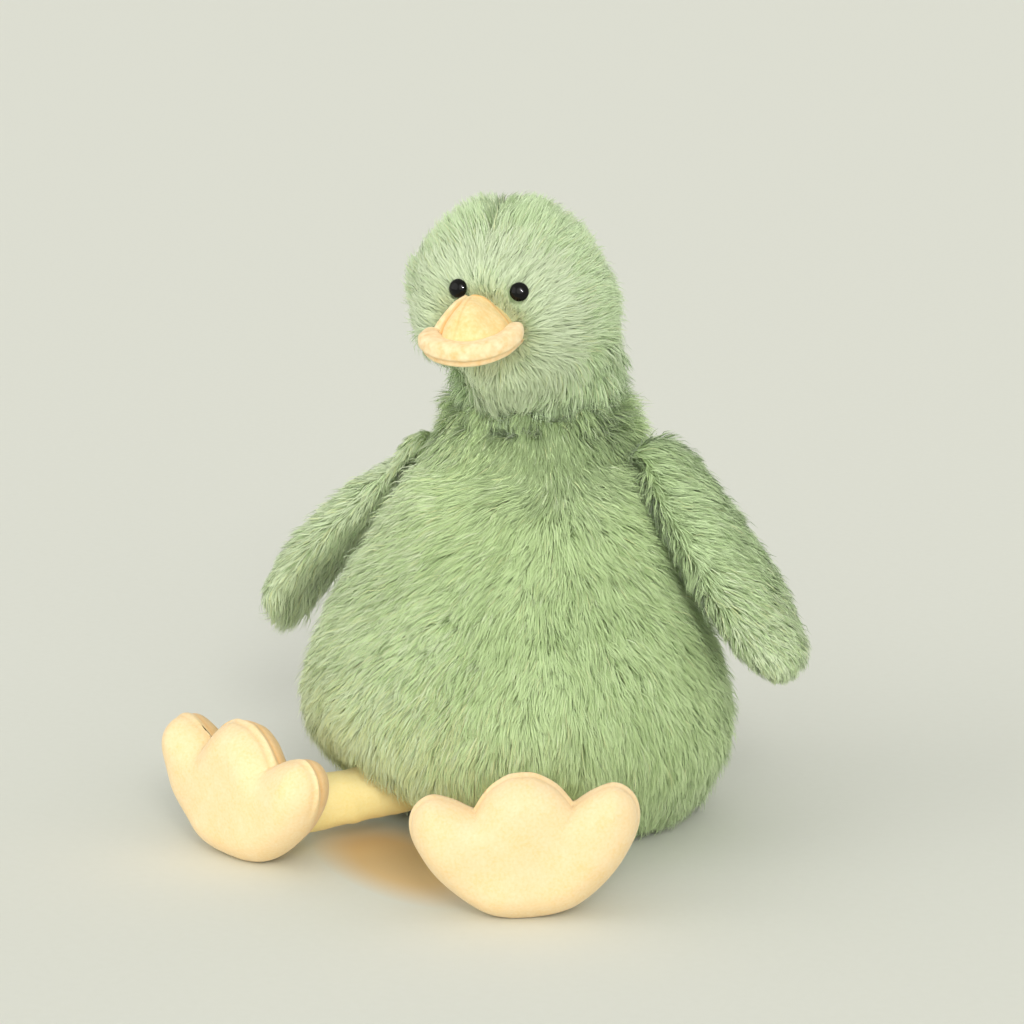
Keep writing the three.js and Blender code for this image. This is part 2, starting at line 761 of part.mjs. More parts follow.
// Rings of the puffed foot from one face's middle to the other's, as shares of the outline
const footRingShares = [0, 0.45, 0.75, 0.93, 1, 0.93, 0.75, 0.45, 0];
const footInnerRingShares = [0, 0.55, 0.9, 0.9, 0.55, 0];

// A puffed pad with the foot's outline, thinner all round by shrink and flat on the floor.
// It faces along -Y, and the outer toe is tipped up.
function footForm(sign, shrink, sideCount) {
  const shareRows = shrink === 0 ? footRingShares : footInnerRingShares;
  const rows = shareRows.length - 1;
  const floor = -hipFootDrop() + shrink;
  return solid(formed(sideCount, rows, (row, angle) => {
    const share = shareRows[row];
    const turned = Math.PI / 2 - angle;
    const widest = Math.max(footHalfWidth, footHeight - footCentreHeight);
    const edge = footRadius(turned - sign * degrees(footRoll));
    const outline = THREE.MathUtils.lerp(edge, widest * roundShare, creaseFade * (1 - share));
    const thinning = THREE.MathUtils.lerp(1, outline / widest, creaseShare * share);
    const puff = Math.sqrt(1 - share ** puffPower) * Math.min(1, thinning);
    const side = row < rows / 2 ? 1 : -1;
    const halfThickness = side * puff * (footHalfThickness - shrink);
    const radius = share * (outline - shrink);
    return new THREE.Vector3(
      radius * Math.cos(turned),
      -footReach + halfThickness,
      Math.max(floor, floor - shrink + footCentreHeight + radius * Math.sin(turned)),
    );
  }));
}

// Height of the ankle's centre above the floor
function hipFootDrop() {
  return hipHeight - legLength * Math.sin(degrees(legFall));
}

function addFoot(side, sign) {
  const foot = footFrames[side];
  const legEnd = new THREE.Group();
  legEnd.position.y = -legLength;
  legFrames[side].add(legEnd);
  const ankleRoom = carried(jointHollow(ankleBall + gap, ankleRoomAngle, 1), legEnd, foot);
  const skin = footForm(sign, 0, footSides)
    .subtract(footForm(sign, velvet, footInnerSides))
    .subtract(ankleRoom);
  foot.add(
    piece(`${side}_foot_sole_panel`, skin.trimByPlane([0, -1, 0], footReach + gap / 2),
      velvetYellow, velvetRoughness),
    piece(`${side}_foot_upper_panel`, skin.trimByPlane([0, 1, 0], -footReach + gap / 2),
      velvetYellow, velvetRoughness),
    piece(`${side}_foot_stuffing`,
      footForm(sign, velvet + gap, footInnerSides).subtract(ankleRoom), fillingWhite),
  );
}

for (const [side, sign] of sides) {
  addWing(side, sign);
  addLeg(side);
  addFoot(side, sign);
}

export default duck;
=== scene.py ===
# %% [markdown]
# A seated plush duck with long green fur, a velvet beak and big velvet feet.
# The engineering model is loaded first and never changed. It says where every body of the toy
# is and how it turns. Each soft form of it is then dressed with a detailed piece of its own.
# %% Load the engineering model
import json
import math

import bpy
import numpy as np
from mathutils import Matrix, Vector, kdtree


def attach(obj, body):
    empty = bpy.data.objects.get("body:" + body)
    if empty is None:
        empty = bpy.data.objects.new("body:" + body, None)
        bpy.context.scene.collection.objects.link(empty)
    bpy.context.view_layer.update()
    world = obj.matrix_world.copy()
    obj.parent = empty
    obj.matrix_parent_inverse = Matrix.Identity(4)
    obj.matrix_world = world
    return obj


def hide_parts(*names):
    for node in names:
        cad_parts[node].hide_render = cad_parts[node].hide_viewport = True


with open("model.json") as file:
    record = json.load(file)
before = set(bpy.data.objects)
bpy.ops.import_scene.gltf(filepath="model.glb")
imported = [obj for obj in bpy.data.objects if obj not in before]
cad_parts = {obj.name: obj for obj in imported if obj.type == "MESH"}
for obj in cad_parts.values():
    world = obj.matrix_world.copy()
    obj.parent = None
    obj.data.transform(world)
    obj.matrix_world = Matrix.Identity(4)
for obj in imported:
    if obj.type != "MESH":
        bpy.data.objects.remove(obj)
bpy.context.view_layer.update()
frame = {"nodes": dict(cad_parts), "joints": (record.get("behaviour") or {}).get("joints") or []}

MM = 0.001

# %% [markdown]
# The camera stands about 1.6 m away, a little above the toy and round to the toy's right. A
# long lens from that far keeps the big feet from looking swollen.
# The camera comes first, because every later choice is judged through it.
# %% Camera
CAMERA_AZIMUTH = math.radians(29.5)
CAMERA_RISE = math.radians(13.2)
CAMERA_DISTANCE = 1.6
FOCAL_PIXELS = 3697.7
IMAGE_PIXELS = 1024
SENSOR = 36
ORIGIN_PIXEL = (541, 803)  # where the middle of the seat lands in the picture
PIXEL = 0.4327 * MM

right = Vector((math.cos(CAMERA_AZIMUTH), math.sin(CAMERA_AZIMUTH), 0))
back = Vector((
    math.sin(CAMERA_AZIMUTH) * math.cos(CAMERA_RISE),
    -math.cos(CAMERA_AZIMUTH) * math.cos(CAMERA_RISE),
    math.sin(CAMERA_RISE),
))
up = back.cross(right)
middle = IMAGE_PIXELS / 2
aim = right * (middle - ORIGIN_PIXEL[0]) * PIXEL + up * (ORIGIN_PIXEL[1] - middle) * PIXEL


def linked(name, data):
    """A new object in the scene that holds the given camera, lamp or mesh"""
    thing = bpy.data.objects.new(name, data)
    bpy.context.scene.collection.objects.link(thing)
    return thing


camera = linked("camera", bpy.data.cameras.new("camera"))
bpy.context.scene.camera = camera
camera.data.sensor_width = SENSOR
camera.data.lens = FOCAL_PIXELS / IMAGE_PIXELS * SENSOR
camera.location = aim + back * CAMERA_DISTANCE
camera.rotation_euler = (-back).to_track_quat("-Z", "Y").to_euler()
print("camera at", tuple(round(v, 3) for v in camera.location), "lens", round(camera.data.lens, 1))

# %% [markdown]
# Every moving part of the toy has a frame of its own: a centre that it turns about and a
# direction that it points in. The centres come from the joints of the engineering model, and
# the angles are those at which the part rests. With these frames a foot or a wing can be
# shaped as if it stood straight in front of us, and then be put where it belongs.
# %% Frames of the moving parts
HEAD_TURN, HEAD_TILT = 15, 4.5
WING_SPREAD = {"left": 38.5, "right": 44}
WING_LEAN = {"left": 4.4, "right": 8}
LEG_SPREAD = {"left": 25, "right": 45}
LEG_FALL = 7
FOOT_TWIST = {"left": 5, "right": -30}
SIGN = {"left": 1, "right": -1}
BEAK_PLACE, BEAK_TILT = (-3.5, -66, 68.5), 1.5  # millimetres and degrees in the head's own frame

pivots = {joint["child"]: Vector(joint["pos_m"]) for joint in frame["joints"]}


def turned(axis, degrees):
    return Matrix.Rotation(math.radians(degrees), 4, axis)


frames = {"head": Matrix.Translation(pivots["head"]) @ turned("Z", HEAD_TURN) @ turned("Y", -HEAD_TILT)}
frames["beak"] = frames["head"] @ Matrix.Translation(Vector(BEAK_PLACE) * MM) @ turned("Y", BEAK_TILT)
for side, sign in SIGN.items():
    frames[side + "_wing"] = (Matrix.Translation(pivots[side + "_wing"])
                              @ turned("Y", -sign * WING_SPREAD[side]) @ turned("X", -WING_LEAN[side]))
    frames[side + "_leg"] = (Matrix.Translation(pivots[side + "_leg"])
                             @ turned("Z", sign * LEG_SPREAD[side]) @ turned("X", LEG_FALL))
    frames[side + "_foot"] = (Matrix.Translation(pivots[side + "_foot"])
                              @ turned("Z", sign * (LEG_SPREAD[side] + FOOT_TWIST[side])))
for name, place in frames.items():
    print(name, "at", tuple(round(v / MM, 1) for v in place.translation))

# %% [markdown]
# A few small helpers save repetition. They turn lists of points into a mesh object, read a
# mesh back as arrays of numbers, clear the selection before any operator runs, and give the
# two curves that blend one value into another: a smooth step and a smooth hump.
# %% Mesh helpers
TINY = 1e-12
def deselect():
    if bpy.context.object and bpy.context.object.mode != "OBJECT":
        bpy.ops.object.mode_set(mode="OBJECT")
    bpy.ops.object.select_all(action="DESELECT")


def choose(piece):
    deselect()
    piece.select_set(True)
    bpy.context.view_layer.objects.active = piece


def mesh_object(name, points, faces):
    mesh = bpy.data.meshes.new(name)
    mesh.from_pydata(np.asarray(points).tolist(), [], np.asarray(faces).tolist())
    return linked(name, mesh)


def points_of(mesh):
    points = np.zeros(len(mesh.vertices) * 3)
    mesh.vertices.foreach_get("co", points)
    return points.reshape(-1, 3)


def normals_of(mesh):
    normals = np.zeros(len(mesh.vertices) * 3)
    mesh.vertex_normals.foreach_get("vector", normals)
    return normals.reshape(-1, 3)


def triangles_of(mesh):
    mesh.calc_loop_triangles()
    corners = np.zeros(len(mesh.loop_triangles) * 3, dtype=np.int64)
    mesh.loop_triangles.foreach_get("vertices", corners)
    return corners.reshape(-1, 3)


def move_points(piece, points):
    piece.data.vertices.foreach_set("co", np.asarray(points, dtype=np.float32).ravel())
    piece.data.update()


def apply_modifier(piece, kind, **settings):
    choose(piece)
    modifier = piece.modifiers.new(kind.title(), kind)
    for name, value in settings.items():
        setattr(modifier, name, value)
    bpy.ops.object.modifier_apply(modifier=modifier.name)


def unit(vectors):
    return vectors / np.maximum(np.linalg.norm(vectors, axis=-1, keepdims=True), TINY)


def ramp(values, start, end):
    """0 before the start, 1 past the end, and a smooth step between"""
    share = np.clip((values - start) / (end - start), 0, 1)
    return share * share * (3 - 2 * share)


def hump(values, middle, width):
    """1 at the middle, and smoothly down to almost nothing two widths away"""
    return np.exp(-((values - middle) / width) ** 2)


def placed(points, place):
    """Points given in millimetres in a part's own frame, as points of the whole toy in metres"""
    place = np.array(place)
    return np.asarray(points) * MM @ place[:3, :3].T + place[:3, 3]


def local(points, place):
    """The other way: points of the whole toy, in millimetres in a part's own frame"""
    inverse = np.array(place.inverted())
    return (points @ inverse[:3, :3].T + inverse[:3, 3]) / MM

print("nodes:", len(frame["nodes"]), "with",
      sum(len(node.data.vertices) for node in frame["nodes"].values()), "points")

# %% [markdown]
# Smooth random values are needed all over the toy, for the wander of the fur and the small
# unevenness of stuffed cloth. A sum of a few waves in random directions gives them at any
# point, and the same ones on every run.
# %% Smooth random values
WAVES = 16
WAVE_SPREAD = (0.6, 1.4)  # the shortest and longest wave, as shares of the mean one's number


def wander(points, wavelength, seed, count=3):
    """Values of about -1 to 1 that change smoothly over the wavelength, given in millimetres"""
    random = np.random.default_rng(seed)
    waves = unit(random.normal(size=(WAVES, 3))) * random.uniform(*WAVE_SPREAD, (WAVES, 1))
    angles = points @ waves.T * (2 * math.pi / (wavelength * MM))
    phases = random.uniform(0, 2 * math.pi, (count, WAVES))
    return np.stack([np.sin(angles + phase).sum(1) for phase in phases], 1) * math.sqrt(1 / WAVES)

print("wander at the eyes' height:", wander(np.array([[0, 0, 0.23]]), 20, 1).round(2)[0])

# %% [markdown]
# Under the fur lies the stuffed cloth of the toy. Each soft form starts as a copy of its
# covers and filling. Voxel remeshing joins them to one skin of even squares, which is drawn in
# by the depth of the pile. A cloth simulation then blows it up against its seams a little, as
# stuffing does, and a cap on how far a point may move keeps the form to its size.
# %% Stuffed forms under the fur
PRESSURE = 4
CLOTH_FRAMES, CLOTH_QUALITY = 20, 4
WELD_DISTANCE = 0.01 * MM
SMOOTH_FACTOR = 0.5


def evened(piece, voxel, smoothing):
    """Gives a skin even squares of the voxel's size and smooths away their steps"""
    apply_modifier(piece, "REMESH", mode="VOXEL", voxel_size=voxel * MM)
    apply_modifier(piece, "SMOOTH", factor=SMOOTH_FACTOR, iterations=smoothing)


def skin_of(name, nodes, voxel, draw_in, smoothing=6):
    """One closed skin over some of the model's nodes, drawn in by a depth given for each point"""
    points, faces, count = [], [], 0
    for node in nodes:
        mesh = frame["nodes"][node].data
        points.append(points_of(mesh))
        faces.append(triangles_of(mesh) + count)
        count += len(mesh.vertices)
    piece = mesh_object(name, np.concatenate(points), np.concatenate(faces))
    apply_modifier(piece, "WELD", merge_threshold=WELD_DISTANCE)
    evened(piece, voxel, smoothing)
    found, normals = points_of(piece.data), normals_of(piece.data)
    depth = draw_in(found) if callable(draw_in) else np.full(len(found), draw_in)
    move_points(piece, found - normals * depth[:, None] * MM)
    evened(piece, voxel, smoothing)
    choose(piece)
    bpy.ops.object.shade_smooth()
    return piece


def stuffed(piece, cap):
    """Blows the skin up from inside. No point moves further than the cap, in millimetres."""
    before = points_of(piece.data)
    choose(piece)
    cloth = piece.modifiers.new("Cloth", "CLOTH")
    cloth.settings.effector_weights.gravity = 0
    cloth.settings.use_pressure = True
    cloth.settings.uniform_pressure_force = PRESSURE
    cloth.settings.quality = CLOTH_QUALITY
    cloth.point_cache.frame_end = CLOTH_FRAMES
    for step in range(1, CLOTH_FRAMES + 1):
        bpy.context.scene.frame_set(step)
    bpy.ops.object.modifier_apply(modifier=cloth.name)
    bpy.context.scene.frame_set(1)
    moved = points_of(piece.data) - before
    length = np.maximum(np.linalg.norm(moved, axis=1, keepdims=True), TINY)
    move_points(piece, before + moved * np.minimum(1, cap * MM / length))
    print(piece.name, "swelled by up to", round(min(length.max() / MM, cap), 1), "mm")


def rides(piece, body, slot, *nodes, fill=None):
    """Ties a finished piece to its body and the nodes that it stands for. The slot for its finish is not
    used.
    """
    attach(piece, body)
    if nodes:
        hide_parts(*nodes)
    return piece


print("cloth is blown up in", CLOTH_FRAMES, "steps", "")

# %% [markdown]
# The body, head, wings and tail get such a skin. The pile stands about 7 mm off the body's
# cloth, less off the wings' and least round the beak and the eyes. Where a wing is sewn to the
# shoulder, and where a leg leaves the body, the cloth lies at a depth of its own, so that the
# fur there doesn't stand out too far.
# %% Skins of the body, head, wings and tail
BODY_PILE, FACE_PILE, TAIL_PILE = 7, 2.5, 4  # how deep the cloth lies, in millimetres
WING_PILE = {"left": 5, "right": 6}
ROOT_PILE = {"left": 3.2, "right": 8.5}  # the same where the wing is sewn to the shoulder
ROOT_STRETCH = 25  # how far below the root the wing's own depth is reached
CHEEK_FILL = 2.8  # how much less deep the cloth lies high on the far cheek
JOWL_TUCK = 0.24  # how far the far cheek's lower rim is tucked in towards the neck
LEG_DENT = 5  # how much deeper the cloth lies where a leg leaves the body
LEG_STRETCH = 30  # the part of a leg, to each side of its hinge, that counts for this
FAR_AWAY = 1e3
BEAK_ROOT = np.array([-3, -52, 66])  # where the beak leaves the face, in the head's own frame
SKIN_VOXEL = {"torso": 4, "head": 3, "tail": 2.5, "left_wing": 2.5, "right_wing": 2.5}
SWELL_CAP = {"torso": 2, "head": 1, "left_wing": 1, "right_wing": 1}

panels = {
    "torso": ["torso_front_panel", "torso_back_left_panel", "torso_back_right_panel",
              "torso_base_panel", "torso_stuffing", "pellet_bag"],
    "tail": ["tail_cover", "tail_stuffing"],
    "head": ["head_left_panel", "head_right_panel", "head_back_panel", "head_stuffing"],
    "left_wing": ["left_wing_outer_panel", "left_wing_inner_panel", "left_wing_stuffing"],
    "right_wing": ["right_wing_outer_panel", "right_wing_inner_panel", "right_wing_stuffing"],
}


def wing_depth(side):
    def depth(points):
        below_root = ramp(-local(points, frames[side + "_wing"])[:, 2], 0, ROOT_STRETCH)
        return ROOT_PILE[side] + (WING_PILE[side] - ROOT_PILE[side]) * below_root

    return depth


def in_head(points):
    return local(points, frames["head"])


def head_depth(points):
    """The pile is short round the beak and the eyes, so the cloth lies nearer to the surface"""
    spots = in_head(points)
    beak = np.linalg.norm(spots - BEAK_ROOT, axis=1)
    high_cheek = ramp(-spots[:, 0], 4, 26) * ramp(spots[:, 2], 72, 92)
    return FACE_PILE + (BODY_PILE - FACE_PILE) * ramp(beak, 20, 42) - CHEEK_FILL * high_cheek


def tuck_jowl(piece):
    """Draws the lower rim of the far cheek in towards the neck"""
    spots = in_head(points_of(piece.data))
    share = ramp(-spots[:, 0], 6, 26) * ramp(-spots[:, 2], -66, -50) * ramp(-spots[:, 1], -8, 14)
    spots[:, :2] *= 1 - JOWL_TUCK * share[:, None]
    move_points(piece, placed(spots, frames["head"]))


def leg_distance(spots):
    """How far each point is from the nearer leg, in millimetres"""
    found = np.full(len(spots), FAR_AWAY)
    for side in SIGN:
        x, y, z = local(spots, frames[side + "_leg"]).T
        past = np.maximum(np.abs(y) - LEG_STRETCH, 0)
        found = np.minimum(found, np.sqrt(x ** 2 + z ** 2 + past ** 2))
    return found


def torso_depth(points):
    return BODY_PILE + LEG_DENT * ramp(-leg_distance(points), -26, -14)


depths = {"torso": torso_depth, "head": head_depth, "tail": TAIL_PILE,
          "left_wing": wing_depth("left"), "right_wing": wing_depth("right")}
skins = {}
for name, depth in depths.items():
    skins[name] = skin_of(name + "_skin", panels[name], SKIN_VOXEL[name], depth)
    if name in SWELL_CAP:
        stuffed(skins[name], SWELL_CAP[name])
tuck_jowl(skins["head"])
for piece in skins.values():
    print(piece.name, len(piece.data.vertices), "points,", [round(v / MM) for v in piece.dimensions], "mm")

# %% [markdown]
# Long plush is thousands of fine strands that lie over in one direction, stick together in
# tufts and part where the pile was stroked two ways. Hair curves look right but are lost when
# a model is exported, so each strand here is a narrow strip of three segments that ends in a
# point. All strands of a piece are worked out at once with arrays, which takes seconds.
# First come the places where strands grow, spread evenly over a skin by area.
# %% Where the strands grow
def face_areas(piece):
    points, corners = points_of(piece.data), triangles_of(piece.data)
    a, b, c = (points[corners[:, k]] for k in range(3))
    return np.linalg.norm(np.cross(b - a, c - a), axis=1) / 2


def roots_on(piece, count, seed, keep):
    """Random places on a skin, as points and outward directions. keep says which ones count."""
    random = np.random.default_rng(seed)
    points, normals, corners = points_of(piece.data), normals_of(piece.data), triangles_of(piece.data)
    areas = face_areas(piece)
    face = np.searchsorted(np.cumsum(areas) / areas.sum(), random.random(count))
    u, v = random.random((2, count, 1))
    folded = (u + v > 1)
    u, v = np.where(folded, 1 - u, u), np.where(folded, 1 - v, v)
    shares = (1 - u - v, u, v)
    spots = sum(points[corners[face, k]] * share for k, share in enumerate(shares))
    outward = unit(sum(normals[corners[face, k]] * share for k, share in enumerate(shares)))
    kept = keep(spots, outward)
    return spots[kept], outward[kept]


def nearest(points, centres):
    """For each point, the number of the nearest centre"""
    tree = kdtree.KDTree(len(centres))
    for number, centre in enumerate(centres.tolist()):
        tree.insert(centre, number)
    tree.balance()
    return np.array([tree.find(point)[1] for point in points.tolist()])


covered = {name: round(face_areas(piece).sum() / MM ** 2 / 100) for name, piece in skins.items()}
print("cloth to cover:", covered, "cm2")

# %% [markdown]
# Each strand starts steeply and bends over the way the pile flows. Neighbours are drawn
# together towards their tips, which makes the tufts and the dark gaps between them. A short
# undercoat fills in near the skin. Two numbers per strand go into its map: across it a colour
# batch, a random tint that in places is painted light and painted shade, and a tone, which the
# tuft shares and which is lower on the undercoat as painted shade, and up it the height from
# root to tip. The colour depends on nothing else.
# %% Strands
STRAND_WIDTH = 0.4
TUFT_SPACING = 3.0
STRANDS_PER_AREA = 2.7  # strands on each square millimetre of skin
STEPS = np.array([0, 1 / 3, 2 / 3, 1])
WIDTHS = np.array([1, 0.95, 0.7])
ROOT_LIFT, TIP_LIFT, BEND, STEEPEST = 62, 5, 0.8, 85  # degrees off the skin, and how it bends over
DRIFT_LENGTH, DRIFT = 22, (0.2, 0.16)  # the slow drift of the pile, sideways and in its lift
JITTER, JITTER_SHARES = 0.17, (1, 0.6)  # the same from strand to strand
LENGTH_RANGE, WIDTH_RANGE = (0.78, 1.08), (0.75, 1.2)
UNDERCOAT_SHARE, UNDERCOAT_LENGTH = 0.22, 0.6
FLYAWAY_SHARE, FLYAWAY_LIFT = 0.07, 1.7  # strands that stand off the rest and soften the outline
TUFT_PULL, PULL_RANGE, PULL_POWER = 0.5, (0.55, 1.2), 1.6
LOOSE_PULL = 0.4  # how much of the pull reaches the undercoat and the flyaway strands
TIP_NOISE, ROLL = 0.3, 0.55
FLOOR_CLEARANCE = 0.4
ROUND_SHADE, SKIN_SHADE = 0.35, 0.85  # shaded partly as a round strand, mostly as the skin below
TONE_WIDTH = 0.002
BATCHES = 4  # plain, pale, straw and dark strands, each with its own quarter of the map
POINTS_EACH, CORNERS_EACH, FACES_EACH = 7, 11, 3


def strand_points(roots, outward, flow, length, seed, lift):
    """The four points along every strand, its tuft, and whether it is undercoat"""
    random = np.random.default_rng(seed)
    count = len(roots)
    turn = (wander(roots, DRIFT_LENGTH, seed + 1, 2) * DRIFT
            + random.normal(0, JITTER, (count, 2)) * JITTER_SHARES)
    along = unit(flow - outward * (flow * outward).sum(1, keepdims=True))
    across = np.cross(outward, along)
    along = unit(along + across * turn[:, :1])
    under = random.random(count) < UNDERCOAT_SHARE
    lengths = length * random.uniform(*LENGTH_RANGE, count) * np.where(under, UNDERCOAT_LENGTH, 1)
    flyaway = random.random(count) < FLYAWAY_SHARE
    tilt = (1 + turn[:, 1]) * lift * np.where(flyaway, FLYAWAY_LIFT, 1)
    curve = [roots]
    for low, high in zip(STEPS, STEPS[1:]):
        bend = ROOT_LIFT + (TIP_LIFT - ROOT_LIFT) * ((low + high) / 2) ** BEND
        angle = np.radians(np.minimum(bend * tilt, STEEPEST))
        step = along * np.cos(angle)[:, None] + outward * np.sin(angle)[:, None]
        curve.append(curve[-1] + step * (lengths * (high - low))[:, None] * MM)
    curve = np.stack(curve, 1)

    centres = random.choice(count, max(1, int(count / STRANDS_PER_AREA / TUFT_SPACING ** 2)), replace=False)
    tuft = nearest(roots, roots[centres])
    heads = curve[centres][tuft]
    pull = TUFT_PULL * random.uniform(*PULL_RANGE, len(centres))[tuft]
    draw = (STEPS ** PULL_POWER)[None, :, None] * pull[:, None, None]
    spread = np.where(under | flyaway, LOOSE_PULL, 1)[:, None, None]
    curve = curve + (heads - curve) * draw * spread
    curve[:, 1:] += random.normal(0, TIP_NOISE, (count, 3, 3)) * STEPS[None, 1:, None] * MM
    curve[..., 2] = np.maximum(curve[..., 2], FLOOR_CLEARANCE * MM)
    return curve, tuft, under


def strips(name, curve, outward, tones, seed):
    """One mesh of narrow pointed strips, seven points and three faces to a strand"""
    random = np.random.default_rng(seed)
    count = len(curve)
    ahead = unit(np.gradient(curve, axis=1))
    roll = random.normal(0, ROLL, (count, 1, 1))
    side = unit(np.cross(ahead, outward[:, None]))
    over = np.cross(side, ahead)
    side, over = side * np.cos(roll) + over * np.sin(roll), over * np.cos(roll) - side * np.sin(roll)
    half = STRAND_WIDTH * random.uniform(*WIDTH_RANGE, (count, 1, 1)) * WIDTHS[None, :, None] / 2 * MM
    left = curve[:, :3] - side[:, :3] * half
    right = curve[:, :3] + side[:, :3] * half
    points = np.concatenate([np.stack([left, right], 2).reshape(count, 6, 3), curve[:, 3:]], 1)

    first = np.arange(count)[:, None] * POINTS_EACH
    quads = first[:, :, None] + np.array([[0, 1, 3, 2], [2, 3, 5, 4]])[None]
    tips = first + np.array([[4, 5, 6]])
    corners = np.concatenate([quads.reshape(count, 8), tips], 1).ravel()
    starts = (np.arange(count)[:, None] * CORNERS_EACH + np.array([[0, 4, 8]])).ravel()

    mesh = bpy.data.meshes.new(name)
    mesh.vertices.add(count * POINTS_EACH)
    mesh.vertices.foreach_set("co", points.astype(np.float32).ravel())
    mesh.loops.add(count * CORNERS_EACH)
    mesh.loops.foreach_set("vertex_index", corners.astype(np.int32))
    mesh.polygons.add(count * FACES_EACH)
    mesh.polygons.foreach_set("loop_start", starts.astype(np.int32))
    mesh.update(calc_edges=True)
    mesh.polygons.foreach_set("use_smooth", np.ones(count * FACES_EACH, dtype=bool))

    round_normals = np.concatenate([np.repeat(over[:, :3], 2, 1), over[:, 3:]], 1)
    shade = unit(round_normals * ROUND_SHADE + outward[:, None] * SKIN_SHADE)
    mesh.normals_split_custom_set_from_vertices(shade.reshape(-1, 3))

    heights = np.concatenate([np.repeat(STEPS[:3], 2), STEPS[3:]])
    offsets = np.array([0, 1, 0, 1, 0, 1, 0.5]) * TONE_WIDTH
    place = np.stack([tones[:, None] + offsets[None],
                      np.broadcast_to(heights, (count, POINTS_EACH))], 2).reshape(-1, 2)
    for layer in ("pile", "OFBake"):  # the materials read the first map; the second holds the same places
        uv = mesh.uv_layers.new(name=layer, do_init=False)
        uv.data.foreach_set("uv", place[corners].astype(np.float32).ravel())
    return linked(name, mesh)


print("a tuft holds about", round(STRANDS_PER_AREA * TUFT_SPACING ** 2), "strands")

# %% [markdown]
# Every finish on the toy is worked out from nodes, so it has detail at any distance. A few
# helpers make the nodes: one for sums, one that mixes two colours, one for fine noise and one
# for the bump that goes with it. Colours are written as a paint chart gives them.
# %% Colours and node helpers
NOISE_DETAIL = 3


def linear(red, green, blue):
    """A colour as a paint chart gives it, from 0 to 255, for a shader"""
    share = [value / 255 for value in (red, green, blue)]
    return tuple(v / 12.92 if v <= 0.04045 else ((v + 0.055) / 1.055) ** 2.4 for v in share) + (1,)


def new_group(name, inputs, outputs):
    """A node group with named sockets, given as name: (kind, value)"""
    group = bpy.data.node_groups.new(name, "ShaderNodeTree")
    for socket, (kind, value) in inputs.items():
        made = group.interface.new_socket(socket, in_out="INPUT", socket_type="NodeSocket" + kind)
        made.default_value = value
    for socket, kind in outputs.items():
        group.interface.new_socket(socket, in_out="OUTPUT", socket_type="NodeSocket" + kind)
    return group, group.nodes.new("NodeGroupInput"), group.nodes.new("NodeGroupOutput")


def math_node(tree, operation, *values):
    """A Math node. Each value is a number or another node's output."""
    node = tree.nodes.new("ShaderNodeMath")
    node.operation = operation
    for socket, value in zip(node.inputs, values):
        if isinstance(value, (int, float)):
            socket.default_value = value
        else:
            tree.links.new(value, socket)
    return node.outputs[0]


def mix_node(tree, share, first, second, blend="MIX"):
    node = tree.nodes.new("ShaderNodeMix")
    node.data_type = "RGBA"
    node.blend_type = blend
    for number, value in ((0, share), (6, first), (7, second)):
        if isinstance(value, (int, float, tuple)):
            node.inputs[number].default_value = value
        else:
            tree.links.new(value, node.inputs[number])
    return node.outputs[2]


def noise_node(tree, scale):
    """Fine noise that stays with the piece when it moves"""
    node = tree.nodes.new("ShaderNodeTexNoise")
    node.inputs["Scale"].default_value = scale
    node.inputs["Detail"].default_value = NOISE_DETAIL
    tree.links.new(tree.nodes.new("ShaderNodeTexCoord").outputs["Object"], node.inputs["Vector"])
    return node.outputs[0]


def new_material(name, roughness, settings):
    material = bpy.data.materials.new(name)
    material.use_nodes = True
    shader = material.node_tree.nodes["Principled BSDF"]
    shader.inputs["Roughness"].default_value = roughness
    for socket, value in settings.items():
        shader.inputs[socket].default_value = value
    return material, material.node_tree, shader


def grained(tree, shader, scale, first, second):
    """Gives a shader two colours mixed by fine noise, and returns the noise"""
    grain = noise_node(tree, scale)
    tree.links.new(mix_node(tree, grain, linear(*first), linear(*second)), shader.inputs["Base Color"])
    return grain


def bumped(tree, shader, height, strength, depth):
    """Lets a height raise and lower the surface. The depth is in millimetres."""
    bump = tree.nodes.new("ShaderNodeBump")
    bump.inputs["Strength"].default_value = strength
    bump.inputs["Distance"].default_value = depth * MM
    tree.links.new(height, bump.inputs["Height"])
    tree.links.new(bump.outputs[0], shader.inputs["Normal"])


print("middle grey on a paint chart is", round(linear(128, 128, 128)[0], 3), "in a shader")

# %% [markdown]
# A material of its own gives the pile its colour: deeper green where strands grow, sage along
# them and pale at the tips, a little lighter or darker from tuft to tuft. The deeper roots are
# partly painted shade deep in the pile, and the pale tips are partly painted light. Some strands
# take one of three more colours, pale, straw and dark ones: a random tint, and where they gather,
# painted light and painted shade. The body, the head and the wings share one node group and
# differ only in its colours.
# %% Pile colour group and its three materials
MIDDLE_STEEPNESS = 2.2  # how soon, up a strand, its middle colour follows the root's
# The pale, straw and dark strands are a random tint, and painted light and painted shade where the placing
# functions gather them.
TINT_AND_PAINTED_LIGHT_STRENGTH = {"Pale": 0.4, "Straw": 0.4, "Dark": 0.55}
TINTS_AND_PAINTED_LIGHT = {"Shade": (218, 224, 206), "Pale": (230, 234, 212), "Straw": (228, 222, 166),
        "Dark": (128, 150, 102)}

